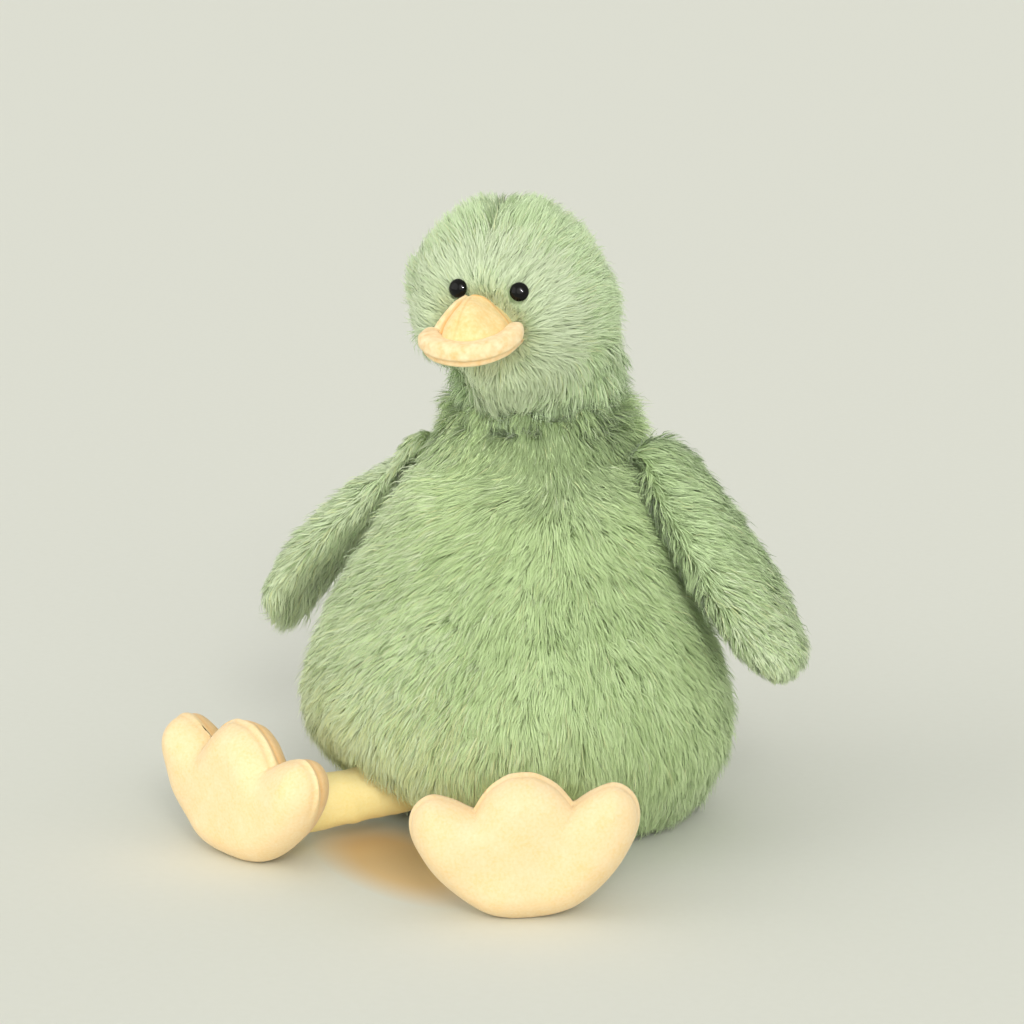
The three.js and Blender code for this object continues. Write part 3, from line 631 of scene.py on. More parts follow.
pile_group, pile_in, pile_out = new_group(
    "pile_colour",
    {name: ("Color", (0, 0, 0, 1)) for name in ("Root", "Middle", "Tip", "Shade", "Pale", "Straw", "Dark")}
    | {"Batch": ("Float", 0.5), "Height": ("Float", 0.5)},
    {"Color": "Color"})
batch = math_node(pile_group, "MULTIPLY", pile_in.outputs["Batch"], BATCHES)
tone = math_node(pile_group, "FRACT", batch)
lower = math_node(pile_group, "MULTIPLY", pile_in.outputs["Height"], MIDDLE_STEEPNESS)
upper = math_node(pile_group, "SUBTRACT", lower, 1)
for output in (lower, upper):
    output.node.use_clamp = True
grown = mix_node(pile_group, lower, pile_in.outputs["Root"], pile_in.outputs["Middle"])
grown = mix_node(pile_group, upper, grown, pile_in.outputs["Tip"])
toned = mix_node(pile_group, tone,
                 mix_node(pile_group, 1.0, grown, pile_in.outputs["Shade"], "MULTIPLY"), grown)
for number, (batch_colour, strength) in enumerate(TINT_AND_PAINTED_LIGHT_STRENGTH.items(), 1):
    is_batch = math_node(pile_group, "COMPARE", math_node(pile_group, "FLOOR", batch), number, 0.1)
    toned = mix_node(pile_group, math_node(pile_group, "MULTIPLY", is_batch, strength),
                     toned, pile_in.outputs[batch_colour])
pile_group.links.new(toned, pile_out.inputs["Color"])


def pile_material(name, root, middle, tip):
    material, tree, shader = new_material(name, 0.75, {
        "Sheen Weight": 0.3, "Sheen Roughness": 0.5, "Specular IOR Level": 0.25})
    place = tree.nodes.new("ShaderNodeUVMap")
    place.uv_map = "pile"
    parts = tree.nodes.new("ShaderNodeSeparateXYZ")
    tree.links.new(place.outputs[0], parts.inputs[0])
    colour = tree.nodes.new("ShaderNodeGroup")
    colour.node_tree = pile_group
    for socket, value in ({"Root": root, "Middle": middle, "Tip": tip} | TINTS_AND_PAINTED_LIGHT).items():
        colour.inputs[socket].default_value = linear(*value)
    tree.links.new(parts.outputs[0], colour.inputs["Batch"])
    tree.links.new(parts.outputs[1], colour.inputs["Height"])
    tree.links.new(colour.outputs[0], shader.inputs["Base Color"])
    return material


# Root, middle and tip: the deeper root is partly painted shade, and the pale tip is partly painted light.
body_pile = pile_material("body_pile", (170, 194, 130), (211, 233, 176), (238, 249, 213))
head_pile = pile_material("head_pile", (190, 212, 160), (217, 238, 192), (239, 249, 221))
wing_pile = pile_material("wing_pile", (174, 199, 138), (218, 240, 188), (242, 252, 222))
print("pile materials:", [material.name for material in (body_pile, head_pile, wing_pile)])

# %% [markdown]
# The cloth that the strands grow from only shows in the gaps between tufts. It is a knitted
# backing near the colour of the strands' roots, with a fine uneven grain. Its deep green is
# partly painted shade in the gaps, and on the face, where the pile is short, it is paler, as
# painted light that keeps the gaps round the beak from looking dark.
# %% Backing cloth
BACKING_GRAIN, BACKING_BUMP, BACKING_DEPTH = 900, 0.4, 0.4
SKIN_FILL = 0.75


def cloth_material(name, dark, light):
    material, tree, shader = new_material(name, 0.95, {"Specular IOR Level": 0.1})
    grain = grained(tree, shader, BACKING_GRAIN, dark, light)
    bumped(tree, shader, grain, BACKING_BUMP, BACKING_DEPTH)
    return material


# deep green, partly painted shade in the gaps between tufts
backing = cloth_material("backing_cloth", (150, 172, 116), (178, 198, 146))
# paler, painted light against the shade in the gaps round the beak
face_backing = cloth_material("face_backing_cloth", (192, 210, 160), (212, 228, 186))
for name, piece in skins.items():
    cloth, slot = (face_backing, "head_plush") if name == "head" else (backing, "body_plush")
    piece.data.materials.append(cloth)
    rides(piece, "torso" if name == "tail" else name, slot, *panels[name], fill=SKIN_FILL)
    print(piece.name, "is cut from", cloth.name)

# %% [markdown]
# On the real toy the fur was stroked by hand. From a point on the chest it lies outwards in
# every direction, and further away its own weight turns it down. That field is written as a
# pull away from the point plus a pull downwards, laid flat on the skin by the strand maker.
# Strands are left out where the head, the wings and the legs cover the body.
# %% Fur on the body
STRAND, EYE_CLEARANCE, LEG_CLEARANCE = 14.5, 4.5, 15
WHORL = Vector((0.032, -0.040, 0.150))  # where the stroking starts, on the chest
WHORL_SOFTNESS, WHORL_SPREAD, WHORL_LIFT = 0.035, 0.026, 0.4
WEIGHT, WEIGHT_GROWTH = 0.3, 6  # how the pile's weight turns it down, more and more away from there
WEIGHT_START, WEIGHT_REACH = 0.03, 0.15
SHOULDER_FALL = np.array([0, 0, -0.8])
NECK_COVER = 46  # the head hides the body's round top above this height, in its own frame
NECK_BAND = (-4, 14)  # between these heights the fur grows short and flat towards the neck
NECK_FLAT, SHOULDER_KEEPS = 0.65, 0.8
NECK_TRIM, LEG_TRIM, NEAR_SHOULDER_FUR = 6, 9, 4
SEAT_THINNING = 3  # only one strand in so many grows under the seat
# The undercoat's tone is lowered as painted shade under the top coat.
TONE_MIDDLE, TONE_BROAD, TONE_TUFT, TONE_SINGLE, UNDERCOAT_SHADE = 0.66, 0.12, 0.2, 0.13, 0.2
TONE_LENGTH = 45  # over how many millimetres the broad tone changes
TUFT_BATCH = 0.3  # how far the strands of a tuft take the same colour batch
PLAIN_BATCH_SHARES = 0.1, 0.04, 0.06  # the shares of pale, straw and dark strands, as a random tint


def tones_of(roots, tuft, under, seed, shares):
    """Each strand's place across the map, from its tuft's lightness, lowered on the undercoat as painted
    shade, and its colour batch
    """
    random = np.random.default_rng(seed)
    broad = wander(roots, TONE_LENGTH, seed + 2, 1)[:, 0] * TONE_BROAD
    tufted = random.normal(0, TONE_TUFT, tuft.max() + 1)[tuft]
    single = random.normal(0, TONE_SINGLE, len(roots))
    tone = np.clip(TONE_MIDDLE + broad + tufted + single - under * UNDERCOAT_SHADE, 0.01, 0.98)
    pale, straw, dark = (np.broadcast_to(share, len(roots)) for share in shares)
    draw = random.random(len(roots)) * (1 - TUFT_BATCH) + random.random(tuft.max() + 1)[tuft] * TUFT_BATCH
    batch = np.select([draw < pale, draw < pale + straw, draw < pale + straw + dark], [1, 2, 3], 0)
    return (batch + tone) / BATCHES


def clear_of(curve, centres, radius):
    """Which strands stay further than the radius, in millimetres, from every centre"""
    between = (curve[:, 1:] + curve[:, :-1]) / 2
    spots = np.concatenate([curve, between], 1)
    clear = np.ones(len(curve), dtype=bool)
    for centre in centres:
        clear &= np.linalg.norm(spots - np.array(centre), axis=2).min(1) > radius * MM
    return clear


def fur(name, body, skin, flow, keep, material, slot, length, seed, parts=1, order=None,
        lift=None, batch_shares=lambda roots: PLAIN_BATCH_SHARES, avoid=()):
    """Grows fur on a skin and cuts it in parts, each a piece of its own on the same body"""
    area = face_areas(skin).sum() / MM ** 2
    roots, outward = roots_on(skin, int(area * STRANDS_PER_AREA), seed, keep)
    lengths = length(roots) if callable(length) else length
    lifts = lift(roots) if lift else np.ones(len(roots))
    curve, tuft, under = strand_points(roots, outward, flow(roots, outward), lengths, seed, lifts)
    clear = clear_of(curve, avoid, EYE_CLEARANCE)
    roots, outward, curve, tuft, under = (values[clear] for values in (roots, outward, curve, tuft, under))
    tones = tones_of(roots, tuft, under, seed, batch_shares(roots))
    rank = np.argsort(order(roots) if order else np.arange(len(roots)), kind="stable")
    for number, chosen in enumerate(np.array_split(rank, parts)):
        title = name if parts == 1 else f"{name}_{number + 1}"
        piece = strips(title, curve[chosen], outward[chosen], tones[chosen], seed + number)
        piece.data.materials.append(material)
        rides(piece, body, slot)
    print(name, round(area / 100), "cm2,", len(roots), "strands")


def body_flow(roots, outward):
    away = roots - np.array(WHORL)
    distance = np.linalg.norm(away, axis=1, keepdims=True)
    weight = WEIGHT + WEIGHT_GROWTH * np.clip(distance - WEIGHT_START, 0, WEIGHT_REACH)
    flow = away / np.maximum(distance, WHORL_SOFTNESS) + np.array([0, 0, -1]) * weight
    shoulder = ramp(roots[:, 2], 0.15, 0.168)[:, None]
    from_neck = unit((roots - np.array(pivots["neck"])) * [1, 1, 0])
    return flow * (1 - shoulder) + (from_neck + SHOULDER_FALL) * shoulder


def shoulder_share(roots):
    return ramp(np.abs(roots[:, 0]), 0.02, 0.04) * ramp(roots[:, 2], 0.15, 0.17)


def neck_share(roots):
    return ramp(in_head(roots)[:, 2], *NECK_BAND)


def body_lift(roots):
    distance = np.linalg.norm(roots - np.array(WHORL), axis=1)
    flat = neck_share(roots) * (1 - SHOULDER_KEEPS * shoulder_share(roots))
    return (1 + WHORL_LIFT * hump(distance, 0, WHORL_SPREAD)) * (1 - NECK_FLAT * flat)


def body_shows(roots, outward):
    """Not under the head, not round the legs, and thinly under the seat"""
    shows = (in_head(roots)[:, 2] < NECK_COVER) & (leg_distance(roots) > LEG_CLEARANCE)
    seat = (outward[:, 2] < -0.8) & (roots[:, 2] < 0.012)
    return shows & ~(seat & (np.arange(len(roots)) % SEAT_THINNING > 0))


def body_length(roots):
    shoulder = shoulder_share(roots)
    neck = neck_share(roots) * (1 - shoulder)
    near_shoulder = shoulder * np.where(roots[:, 0] > 0, NEAR_SHOULDER_FUR, 0)
    return STRAND - NECK_TRIM * neck + near_shoulder - LEG_TRIM * ramp(-leg_distance(roots), -30, -17)


def body_tint_and_painted_light(roots):
    """Pale strands on the far side as painted light, straw ones low down on it as painted warm light off the
    feet, and dark ones on the chest under the head and in the neck crease as painted shade
    """
    across = np.array(roots) @ np.array(right)
    in_front = roots[:, 1] < 0
    far = ramp(-across, 0.005, 0.075) * in_front
    low = ramp(-roots[:, 2], -0.09, -0.03) * ramp(-across, -0.02, 0.05)
    chest = hump(across, 0.004, 0.03) * ramp(roots[:, 2], 0.135, 0.155) * in_front
    crease = ramp(in_head(roots)[:, 2], 4, 18) * ramp(-roots[:, 1], 0, 0.03)
    return 0.08 + 0.45 * far, 0.04 + 0.5 * low, 0.07 + 0.55 * chest + 0.1 * crease


fur("torso_fur", "torso", skins["torso"], body_flow, body_shows, body_pile, "body_plush",
    body_length, seed=11, parts=7, order=lambda roots: np.arctan2(roots[:, 0], -roots[:, 1] - 0.01),
    lift=body_lift, batch_shares=body_tint_and_painted_light)

# %% [markdown]
# Between the head and the body sits the short padded neck that the head turns on. It has a coat
# of shorter fur that lies down over the body's top, so no bare cloth shows when the head turns.
# %% Neck
NECK_FUR, NECK_LIFT = 17, 0.9
NECK_FLOOR, NECK_CROWN = 0.174, 0.8  # fur grows above this height, and not on the hidden top

neck = skin_of("neck_skin", ["neck_stuffing"], voxel=3, draw_in=1, smoothing=4)
neck.data.materials.append(backing)
rides(neck, "neck", "body_plush", "neck_stuffing", fill=0.8)
fur("neck_fur", "neck", neck, lambda roots, outward: outward * [0.5, 0.5, 0] + np.array([0, 0, -1]),
    lambda roots, outward: (roots[:, 2] > NECK_FLOOR) & (outward[:, 2] < NECK_CROWN), head_pile,
    "body_plush", NECK_FUR, seed=61, lift=lambda roots: np.full(len(roots), NECK_LIFT))

# %% [markdown]
# The eyes are glossy black beads on shanks that go through the face to a washer inside. Each
# one starts as a sphere primitive at the place of the engineering model's eye. In edit mode it
# is flattened a little and gets a cylinder for its shank, which stays one piece with it.
# %% Eyes
EYE_RADIUS, EYE_FLATNESS = 3.9, 0.62
SHANK_RADIUS, SHANK_LENGTH, SHANK_OVERLAP = 1.5, 8, 1
EYE_SEGMENTS, EYE_RINGS, SHANK_SIDES = 64, 48, 32
FRONT_POINTS = 12  # the foremost points of the model's eye, whose middle is its front
FUR_GUARD = 1.5  # the fur keeps clear of a point this far before an eye's middle
EYE_SHIFT = {"left": (1, 0.8, 1.4), "right": (-0.7, 1.2, 3.5)}

bead, tree, shader = new_material("eye_bead", 0.02, {"Specular IOR Level": 0.22})
grained(tree, shader, 300, (4, 4, 5), (14, 13, 13))
eye_centres = []
for side in SIGN:
    node = side + "_eye"
    points = points_of(frame["nodes"][node].data)
    foremost = Vector(points[np.argsort(in_head(points)[:, 1])[:FRONT_POINTS]].mean(0))
    washer_spot = Vector(points_of(frame["nodes"][node + "_washer"].data).mean(0))
    axis = (foremost - washer_spot).normalized()
    centre = foremost - axis * EYE_RADIUS * EYE_FLATNESS * MM + Vector(EYE_SHIFT[side]) * MM
    eye_centres.append(centre + axis * FUR_GUARD * MM)
    facing = axis.to_track_quat("Z", "Y").to_euler()
    deselect()
    bpy.ops.mesh.primitive_uv_sphere_add(segments=EYE_SEGMENTS, ring_count=EYE_RINGS,
                                         radius=EYE_RADIUS * MM, location=centre, rotation=facing)
    piece = bpy.context.object
    piece.name = piece.data.name = "eye_bead_" + side
    bpy.ops.object.mode_set(mode="EDIT")
    bpy.ops.transform.resize(value=(1, 1, EYE_FLATNESS), orient_type="LOCAL", center_override=centre)
    bpy.ops.object.mode_set(mode="OBJECT")
    bpy.ops.object.transform_apply(location=True, rotation=True, scale=True)
    choose(piece)
    bpy.ops.object.mode_set(mode="EDIT")
    to_shank = EYE_RADIUS * EYE_FLATNESS - SHANK_OVERLAP + SHANK_LENGTH / 2
    bpy.ops.mesh.primitive_cylinder_add(vertices=SHANK_SIDES, radius=SHANK_RADIUS * MM,
                                        depth=SHANK_LENGTH * MM, location=centre - axis * to_shank * MM,
                                        rotation=facing)
    bpy.ops.object.mode_set(mode="OBJECT")
    bpy.ops.object.shade_smooth_by_angle(angle=math.radians(40))
    piece.data.materials.append(bead)
    rides(piece, "head", "eye", node)
    print(piece.name, "faces along", tuple(round(v, 2) for v in axis))

# %% [markdown]
# On the head the fur is brushed away from the beak, up over the forehead and out over the
# cheeks, and it parts along the middle of the crown. Behind, it falls towards the neck.
# %% Fur on the head
PARTING_SIDE, PARTING_WIDTH, PARTING_SPREAD = -2, 16, 0.45
SOCKET = 58  # roots nearer to the neck ball's centre than this are inside the socket
NAPE_FALL, JOWL_FALL = np.array([0, 0, -1.6]), np.array([0, 0, -1.3])
JOWL_INWARD, JOWL_DROP = np.array([0.6, 0, 0]), 10
FACE_FUR, CROWN_FUR, RIM_FUR, NAPE_FUR, CHEEK_FUR, PARTING_TRIM = 8, 5.5, 9, 8, 2.5, 3


def beak_distance(spots):
    return np.linalg.norm(spots - BEAK_ROOT, axis=1)


def head_flow(roots, outward):
    spots = in_head(roots)
    away = unit(spots - BEAK_ROOT)
    behind = ramp(spots[:, 1], -30, 20)[:, None]
    crown = (ramp(spots[:, 2], 92, 112) * hump(spots[:, 0], PARTING_SIDE, PARTING_WIDTH))[:, None]
    side = np.sign(spots[:, :1] - PARTING_SIDE) * np.array([1, 0, 0])
    jowl = ramp(-spots[:, 0], 12, 32) * ramp(-spots[:, 1], -5, 15)
    low = ramp(-spots[:, 2] + JOWL_DROP * jowl, -62, -44)[:, None]
    flow = (away + behind * NAPE_FALL + crown * (1 - behind) * side * PARTING_SPREAD) * (1 - low)
    inward = ramp(-spots[:, 0], 0, 30)[:, None] * JOWL_INWARD
    outward_share = 0.12 + 0.38 * ramp(spots[:, :1], 10, 35) * ramp(-spots[:, 2:], -46, -34)
    flow += low * (JOWL_FALL + unit(spots * [1, 1, 0]) * outward_share + inward)
    return flow @ np.array(frames["head"])[:3, :3].T


def head_shows(roots, outward):
    spots = in_head(roots)
    socket = np.linalg.norm(spots, axis=1) < SOCKET
    inward = (spots * (outward @ np.array(frames["head"])[:3, :3])).sum(1) < 0
    return ~(socket & inward)


def head_length(roots):
    """Short round the beak, longer on the crown, and longest round the lower rim and the nape"""
    spots = in_head(roots)
    away = ramp(beak_distance(spots), 14, 38)
    rim = ramp(-spots[:, 2], -48, -22)
    jowl = ramp(-spots[:, 0], 12, 32) * ramp(-spots[:, 2], -56, -40)
    parting = hump(spots[:, 0], PARTING_SIDE, 9) * ramp(spots[:, 2], 96, 112)
    cheek = ramp(-spots[:, 0], 22, 46) * ramp(spots[:, 2], 40, 60)
    nape = ramp(spots[:, 0] + spots[:, 1], 10, 40) * rim
    return (FACE_FUR + CROWN_FUR * away + RIM_FUR * rim * (1 - 0.2 * jowl) - PARTING_TRIM * parting
            + CHEEK_FUR * cheek + NAPE_FUR * nape)


def head_lift(roots):
    """Flatter on the face, the lower rim and the far jowl, and steeper on the crown"""
    spots = in_head(roots)
    jowl = ramp(-spots[:, 0], 8, 28) * ramp(-spots[:, 2], -66, -50)
    face = ramp(-beak_distance(spots), -40, -18)
    rim = ramp(-spots[:, 2], -52, -34)
    crown = ramp(spots[:, 2], 70, 95)
    return (1 - 0.3 * rim) * (1 - 0.35 * face) * (1 + 0.25 * crown) * (1 - 0.5 * jowl)


def head_tint_and_painted_light(roots):
    """Pale strands on the face, as painted light where shade falls round the beak, and dark ones in the
    parting, as painted shade
    """
    spots = in_head(roots)
    parting = hump(spots[:, 0], PARTING_SIDE, 3.5) * ramp(spots[:, 2], 88, 108)
    face = ramp(-beak_distance(spots), -44, -26)
    return 0.18 + 0.7 * face, 0.05, (0.05 + 0.5 * parting) * (1 - face)


fur("head_fur", "head", skins["head"], head_flow, head_shows, head_pile, "head_plush", head_length,
    seed=31, parts=2, order=lambda roots: in_head(roots)[:, 0], lift=head_lift, batch_shares=head_tint_and_painted_light,
    avoid=eye_centres)

# %% [markdown]
# The wings' fur runs from the shoulder to the tip. Along the front edge, where the outer and
# the inner cover meet in a seam, it parts: the outer fur sweeps back and the inner falls
# straight. The little tail's fur points along it.
# %% Fur on the wings and the tail
WING_FUR, WING_CAP_TRIM, TAIL_FUR = 11, 3, 13
WING_TIP = {"left": (-3, -3), "right": (-6, 15)}  # longer fur at the tip, outside and inside
WING_ROOT = {"left": 1.5, "right": -5}  # longer fur at the root, which also stands up more
WING_TIP_SWAY = {"left": 0, "right": 0.5}
WING_SWEEP = {"left": 0.75, "right": 0.15}  # how far the outer fur leaves the seam
WING_TIP_FALL, WING_CAP_OUT, WING_CAP_FALL, WING_ROOT_LIFT = -1.2, 1.2, -0.5, 0.08
WING_SEED, TAIL_SEED = 51, 71
TAIL_FLOW = np.array([[0, 0.85, 0.53]])


def grow_wing(side):
    sign, wing = SIGN[side], side + "_wing"
    place = np.array(frames[wing])[:3, :3]

    def flow(roots, outward):
        spots = local(roots, frames[wing])
        outer = ramp(spots[:, 0] * sign, -1, 3)[:, None]
        front = ramp(-spots[:, 1], -8, 22)[:, None]
        along = np.array([0, 0, -1]) + outer * front * np.array([0, WING_SWEEP[side], 0])
        tip = ramp(-spots[:, 2], 80, 112)[:, None]
        cap = ramp(spots[:, 2], -20, -4)[:, None] * ramp(outward[:, :1] * sign, -0.2, 0.4)
        return (along @ place.T + tip * np.array([WING_TIP_SWAY[side], 0, WING_TIP_FALL])
                + cap * np.array([sign * WING_CAP_OUT, 0, WING_CAP_FALL]))

    def length(roots):
        spots = local(roots, frames[wing])
        outer, inner = WING_TIP[side]
        tip = (inner + (outer - inner) * ramp(spots[:, 0] * sign, -4, 6)) * ramp(-spots[:, 2], 70, 105)
        root = WING_ROOT[side] * ramp(spots[:, 2], -38, -12)
        return WING_FUR + tip + root - WING_CAP_TRIM * ramp(spots[:, 2], -10, 0)

    def lift(roots):
        height = local(roots, frames[wing])[:, 2]
        root = 1 + WING_ROOT[side] * WING_ROOT_LIFT * ramp(height, -42, -14)
        return root * (1 - 0.5 * ramp(height, -16, -2))

    def batch_shares(roots):
        """Dark strands along the seam, as painted shade where the fur parts. The near wing is darker at its
        root and paler low down. The far wing takes pale strands all over, as painted light on its shaded
        inner face.
        """
        spots = local(roots, frames[wing])
        seam = hump(spots[:, 0] * sign, 1, 4) * ramp(-spots[:, 1], 5, 20)
        low = ramp(-spots[:, 2], 50, 100)
        if side == "left":
            return 0.05 + 0.5 * low, 0.04, 0.06 + 0.45 * seam + 0.25 * (1 - low) * (1 - seam)
        # painted light: the far wing's many pale strands lighten its shaded inner face
        return 0.6, 0.06, 0.08 + 0.1 * seam

    fur(wing + "_fur", wing, skins[wing], flow, lambda roots, outward: roots[:, 2] > 0,
        wing_pile, "body_plush", length, seed=WING_SEED + sign, lift=lift, batch_shares=batch_shares)


for side in SIGN:
    grow_wing(side)
fur("tail_fur", "torso", skins["tail"], lambda roots, outward: TAIL_FLOW,
    lambda roots, outward: roots[:, 1] > 0.05, body_pile, "body_plush", TAIL_FUR, seed=TAIL_SEED,
    lift=lambda roots: 0.7 + 1.3 * ramp(roots[:, 1], 0.074, 0.088))

# %% [markdown]
# The legs and feet are cut from short velvet in pale yellow. A node group gives the velvet its
# colour: slightly deeper in soft patches, with the fine grain of the pile and a bump from it.
# %% Velvet group and materials
PATCH_SHARE, FINE_SHARE, ROUGH_SHARE = (0.7, -0.25), (1.0, -0.2), (0.2, 0.72)  # factor, and what is added
VELVET_BUMP, VELVET_DEPTH = 0.45, 0.3
# The orange of painted shade along seams, grooves and creases. The back panel of a foot also takes a little
# of it.
SEAM_SHADE_COLOUR = (232, 172, 98)
velvet_group, velvet_in, velvet_out = new_group(
    "velvet",
    {"Place": ("Vector", (0, 0, 0)), "Pale": ("Color", (0, 0, 0, 1)), "Deep": ("Color", (0, 0, 0, 1)),
     "Patches": ("Float", 60), "Grain": ("Float", 800)},
    {"Color": "Color", "Height": "Float", "Roughness": "Float"})
patches = velvet_group.nodes.new("ShaderNodeTexNoise")
fine = velvet_group.nodes.new("ShaderNodeTexNoise")
for node, size in ((patches, "Patches"), (fine, "Grain")):
    velvet_group.links.new(velvet_in.outputs["Place"], node.inputs["Vector"])
    velvet_group.links.new(velvet_in.outputs[size], node.inputs["Scale"])
share = math_node(velvet_group, "ADD",
                  math_node(velvet_group, "MULTIPLY_ADD", patches.outputs[0], *PATCH_SHARE),
                  math_node(velvet_group, "MULTIPLY_ADD", fine.outputs[0], *FINE_SHARE))
share.node.use_clamp = True
velvet_group.links.new(mix_node(velvet_group, share, velvet_in.outputs["Pale"], velvet_in.outputs["Deep"]),
                       velvet_out.inputs["Color"])
velvet_group.links.new(fine.outputs[0], velvet_out.inputs["Height"])
velvet_group.links.new(math_node(velvet_group, "MULTIPLY_ADD", fine.outputs[0], *ROUGH_SHARE),
                       velvet_out.inputs["Roughness"])


def velvet_material(name, pale, deep, patches=60, grain=800):
    material, tree, shader = new_material(name, 0.85, {
        "Sheen Weight": 0.2, "Sheen Roughness": 0.4, "Specular IOR Level": 0.2})
    cloth = tree.nodes.new("ShaderNodeGroup")
    cloth.node_tree = velvet_group
    for socket, value in (("Pale", linear(*pale)), ("Deep", linear(*deep)),
                          ("Patches", patches), ("Grain", grain)):
        cloth.inputs[socket].default_value = value
    tree.links.new(tree.nodes.new("ShaderNodeTexCoord").outputs["Object"], cloth.inputs["Place"])
    # painted shade: the seam attribute mixes the orange of the shade in seams, grooves and creases into the
    # velvet
    seam = tree.nodes.new("ShaderNodeAttribute")
    seam.attribute_name = "seam"
    with_seam_colour = mix_node(tree, seam.outputs["Fac"], cloth.outputs["Color"], linear(*SEAM_SHADE_COLOUR))
    tree.links.new(with_seam_colour, shader.inputs["Base Color"])
    tree.links.new(cloth.outputs["Roughness"], shader.inputs["Roughness"])
    bumped(tree, shader, cloth.outputs["Height"], VELVET_BUMP, VELVET_DEPTH)
    return material


foot_velvet = velvet_material("foot_velvet", (246, 224, 184), (240, 205, 138), 110)
# The legs' velvet is lighter and more yellow than the feet's. Its lightness is painted light against the
# shade under the belly.
leg_velvet_painted_light = velvet_material("leg_velvet_painted_light", (255, 240, 178), (252, 230, 150))
beak_velvet = velvet_material("beak_velvet", (252, 230, 176), (238, 196, 116), 110, 600)
lip_velvet = velvet_material("lip_velvet", (253, 236, 196), (234, 190, 118), 260, 420)
print("velvets:", [material.name for material in (foot_velvet, leg_velvet_painted_light, beak_velvet, lip_velvet)])

# %% [markdown]
# A foot is a flat pad of two panels, stuffed tight and sewn along its outline. The outline has
# three round toes with sharp valleys between them. A round form is laid out in rings from the
# middle of the front panel over the edge to the middle of the back panel. The rings' distance
# follows the outline and their thickness follows how stuffing fills such a pad, which is full
# in the middle and pulled in at the valleys.
# %% Foot outline
FOOT_HALF_WIDTH, FOOT_HEIGHT, FOOT_HALF_THICKNESS = 45, 58, 14
FOOT_REACH, FOOT_CENTRE, FOOT_ROLL = 14.5, 25, 4
OUTER_TOE = [(0, -0.01), (0.2, 0.004), (0.42, 0.06), (0.66, 0.2), (0.86, 0.38), (0.985, 0.6),
             (0.97, 0.78), (0.82, 0.885), (0.62, 0.85), (0.43, 0.765)]
MIDDLE_TOE = [(0.43, 0.765), (0.3, 0.9), (0.13, 0.985), (0, 1)]
OUTLINE_STEPS = 24


def smooth_line(points, steps):
    """Points on a smooth line through the given ones"""
    points = np.array(points, dtype=float)
    padded = np.concatenate([[2 * points[0] - points[1]], points, [2 * points[-1] - points[-2]]])
    share = np.arange(steps)[:, None] / steps
    parts = []
    for a, b, c, d in zip(padded, padded[1:], padded[2:], padded[3:]):
        parts.append(0.5 * (2 * b + (c - a) * share + (2 * a - 5 * b + 4 * c - d) * share ** 2
                            + (3 * b - a - 3 * c + d) * share ** 3))
    return np.concatenate(parts + [points[-1:]])


half_outline = np.concatenate([smooth_line(OUTER_TOE, OUTLINE_STEPS)[:-1],
                               smooth_line(MIDDLE_TOE, OUTLINE_STEPS)])
half_outline = half_outline * [FOOT_HALF_WIDTH, FOOT_HEIGHT] - [0, FOOT_CENTRE]
outline_angles = np.arctan2(half_outline[:, 1], half_outline[:, 0])
outline_reach = np.hypot(*half_outline.T)


def foot_reach_at(angle):
    """Distance of the outline from the foot's middle in a direction"""
    return np.interp(np.arctan2(np.sin(angle), np.abs(np.cos(angle))), outline_angles, outline_reach)


print("foot outline:", len(half_outline), "points for each half")

# %% [markdown]
# The distance of a point from the outline says how thick the pad is there: it swells quickly
# behind the seam and slowly over the rest. The seam shows as a low ridge with a groove beside
# it, with an orange line of painted shade behind the ridge and in the groove. The back panel
# is a deeper yellow, and the round end of the leg presses a hollow into it.
# %% Feet
FOOT_COLUMNS, FOOT_ROWS, EDGE_STEPS = 288, 48, 720
EDGE_ROUNDING, CROWN_ROUNDING = 12, 30  # how far in from the edge the pad swells to its thickness
EDGE_SHARE, CROWN_SHARE = 0.78, 0.22  # the parts of the thickness that it gains over them
ON_EDGE = 0.99999
SEAM_REACH = 4  # how far in from the edge the seam shows
SEAM_RIDGE, SEAM_GROOVE, BEHIND_RIDGE_SHADE, GROOVE_SHADE = 0.7, 0.3, 0.4, 0.12
BACK_DEEPER = 0.3
ANKLE_ROOM = 12.2
FOOT_UNEVEN, FOOT_UNEVEN_LENGTH, FOOT_SEED = 0.5, 26, 81


def swell(depth, rounding):
    return np.sqrt(1 - (1 - np.clip(depth / rounding, 0, 1)) ** 2)


def distance_to_line(points, line):
    """Distance of each point from the nearest of the line's segments"""
    nearest_yet = np.full(len(points), FAR_AWAY)
    for a, b in zip(line, line[1:]):
        along = np.clip(((points - a) @ (b - a)) / max(((b - a) ** 2).sum(), TINY), 0, 1)
        gap = np.linalg.norm(points - a - along[:, None] * (b - a), axis=1)
        nearest_yet = np.minimum(nearest_yet, gap)
    return nearest_yet


def foot_ring(angle, sign, share=1):
    """Points on the outline, or on a smaller ring, in the given directions"""
    reach = share * foot_reach_at(angle - sign * math.radians(FOOT_ROLL))
    return np.stack([reach * np.cos(angle), reach * np.sin(angle)], 1)


